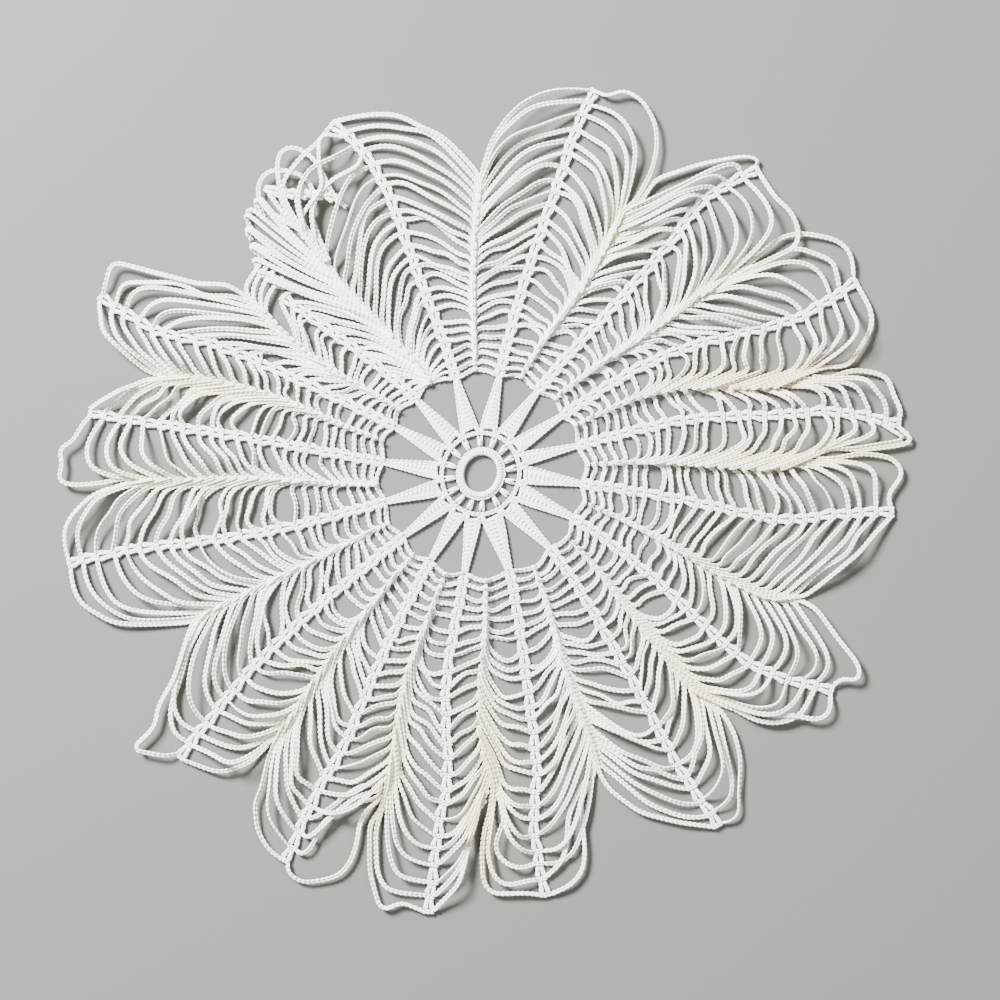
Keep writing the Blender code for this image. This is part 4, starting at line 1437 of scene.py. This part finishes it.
    def build_loops(self) -> None:
        """Work the loose loops and the rib that is folded back."""
        chain = ChainStitch()
        for loop in self.loops:
            route = eased(np.array(loop), self.spacing, passes=5)
            chain.work(self.thread, route, self.loop_rolls, self.ages[1])
        Plait().work(self.thread, [np.array((x, y, self.rib_height)) for x, y in self.folded_rib])

    def build(self) -> None:
        """Work the whole end."""
        self.build_fold()
        self.build_loops()


@dataclass
class Doily:
    """The whole piece: its middle and its petals, in pieces of a few petals each."""

    chart: Chart = field(default_factory=Chart)
    finish: Cotton = field(default_factory=Cotton)
    petals_a_piece: int = 2
    middle_share: float = 0.75  # the part of the middle's width times its length that is cloth
    petal_share: float = 0.8    # and of two petals'
    seed: int = 7

    def dress(self, thread: Thread, name: str, material: bpy.types.Material) -> bpy.types.Object:
        """Write a piece of the doily and tie it to the frame.

        Args:
            thread: The piece's thread.
            name: Its name.
            material: Its finish.

        Returns:
            The object.
        """
        piece = thread.mesh(name)
        piece.data.materials.append(material)
        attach(piece, "root")
        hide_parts(NODE)
        LOG.info("%s: %d strokes, %d faces", name, thread.count, len(piece.data.polygons))
        return piece

    def build(self) -> list[bpy.types.Object]:
        """Work and dress all pieces.

        Returns:
            The objects.
        """
        random, material = np.random.default_rng(self.seed), self.finish.build()
        pieces = [self.dress(Middle(self.chart).build(), "middle", material)]
        for first in range(0, COUNT, self.petals_a_piece):
            thread = Thread()
            for petal in range(first, first + self.petals_a_piece):
                PetalWork(self.chart, petal, random, thread).build()
            name = f"petals_{first + 1:02d}_{first + self.petals_a_piece:02d}"
            pieces.append(self.dress(thread, name, material))
        return pieces


@dataclass
class Studio:
    """A pale floor, soft light and a camera straight above."""

    view: float = 300.0                     # width of the view, mm
    aim: tuple[float, float] = (4.6, 0.2)   # middle of the view in the frame, mm
    distance: float = 0.75                  # from the floor to the camera, m
    sensor: float = 36.0
    floor_size: float = 3.0                 # m
    floor_colour: tuple[float, float, float, float] = (0.105, 0.099, 0.09, 1.0)
    floor_roughness: float = 0.75
    key: tuple[float, ...] = (-0.75, 0.75, 0.95, 0.4, 170.0)    # its place and size in m, its power in W
    fill: tuple[float, ...] = (0.9, -0.4, 1.2, 1.4, 20.0)
    room_light: float = 0.3

    def build_floor(self) -> bpy.types.Object:
        """Lay the floor.

        Returns:
            The floor object.
        """
        bpy.ops.mesh.primitive_plane_add(size=self.floor_size, location=(0.0, 0.0, 0.0))
        floor = bpy.context.active_object
        floor.name = "floor"
        material = bpy.data.materials.new("floor")
        material.use_nodes = True
        shader = material.node_tree.nodes["Principled BSDF"]
        shader.inputs["Base Color"].default_value = self.floor_colour
        shader.inputs["Roughness"].default_value = self.floor_roughness
        floor.data.materials.append(material)
        return floor

    def build_light(self, name: str, light: tuple[float, ...]) -> None:
        """Hang one square soft light that faces the doily.

        Args:
            name: Its name.
            light: Its place, its size and its power.
        """
        *place, size, power = light
        lamp = bpy.data.lights.new(name, "AREA")
        lamp.size = size
        lamp.energy = power
        holder = bpy.data.objects.new(name, lamp)
        holder.location = place
        holder.rotation_euler = (-Vector(place)).to_track_quat("-Z", "Y").to_euler()
        bpy.context.scene.collection.objects.link(holder)

    def build_room(self) -> None:
        """Fill the room with even light."""
        world = bpy.data.worlds.new("room")
        world.use_nodes = True
        sky = world.node_tree.nodes["Background"]
        sky.inputs["Color"].default_value = (1.0, 1.0, 1.0, 1.0)
        sky.inputs["Strength"].default_value = self.room_light
        bpy.context.scene.world = world

    def build_camera(self) -> None:
        """Set the camera straight above the doily."""
        camera = bpy.data.cameras.new("camera")
        camera.sensor_width = self.sensor
        camera.lens = self.sensor * self.distance / (self.view * MM)
        holder = bpy.data.objects.new("camera", camera)
        holder.location = (self.aim[0] * MM, self.aim[1] * MM, self.distance)
        bpy.context.scene.collection.objects.link(holder)
        bpy.context.scene.camera = holder

    def build(self) -> None:
        """Set up the whole studio."""
        self.build_floor()
        self.build_light("key", self.key)
        self.build_light("fill", self.fill)
        self.build_room()
        self.build_camera()


def main() -> None:
    """Build the doily and the studio."""
    logging.basicConfig(level=logging.INFO, format="%(name)s: %(message)s")
    pieces = Doily().build()
    LOG.info("doily: %d pieces", len(pieces))
    Studio().build()
    LOG.info("studio: floor, lights and camera")


if __name__ == "__main__":
    main()
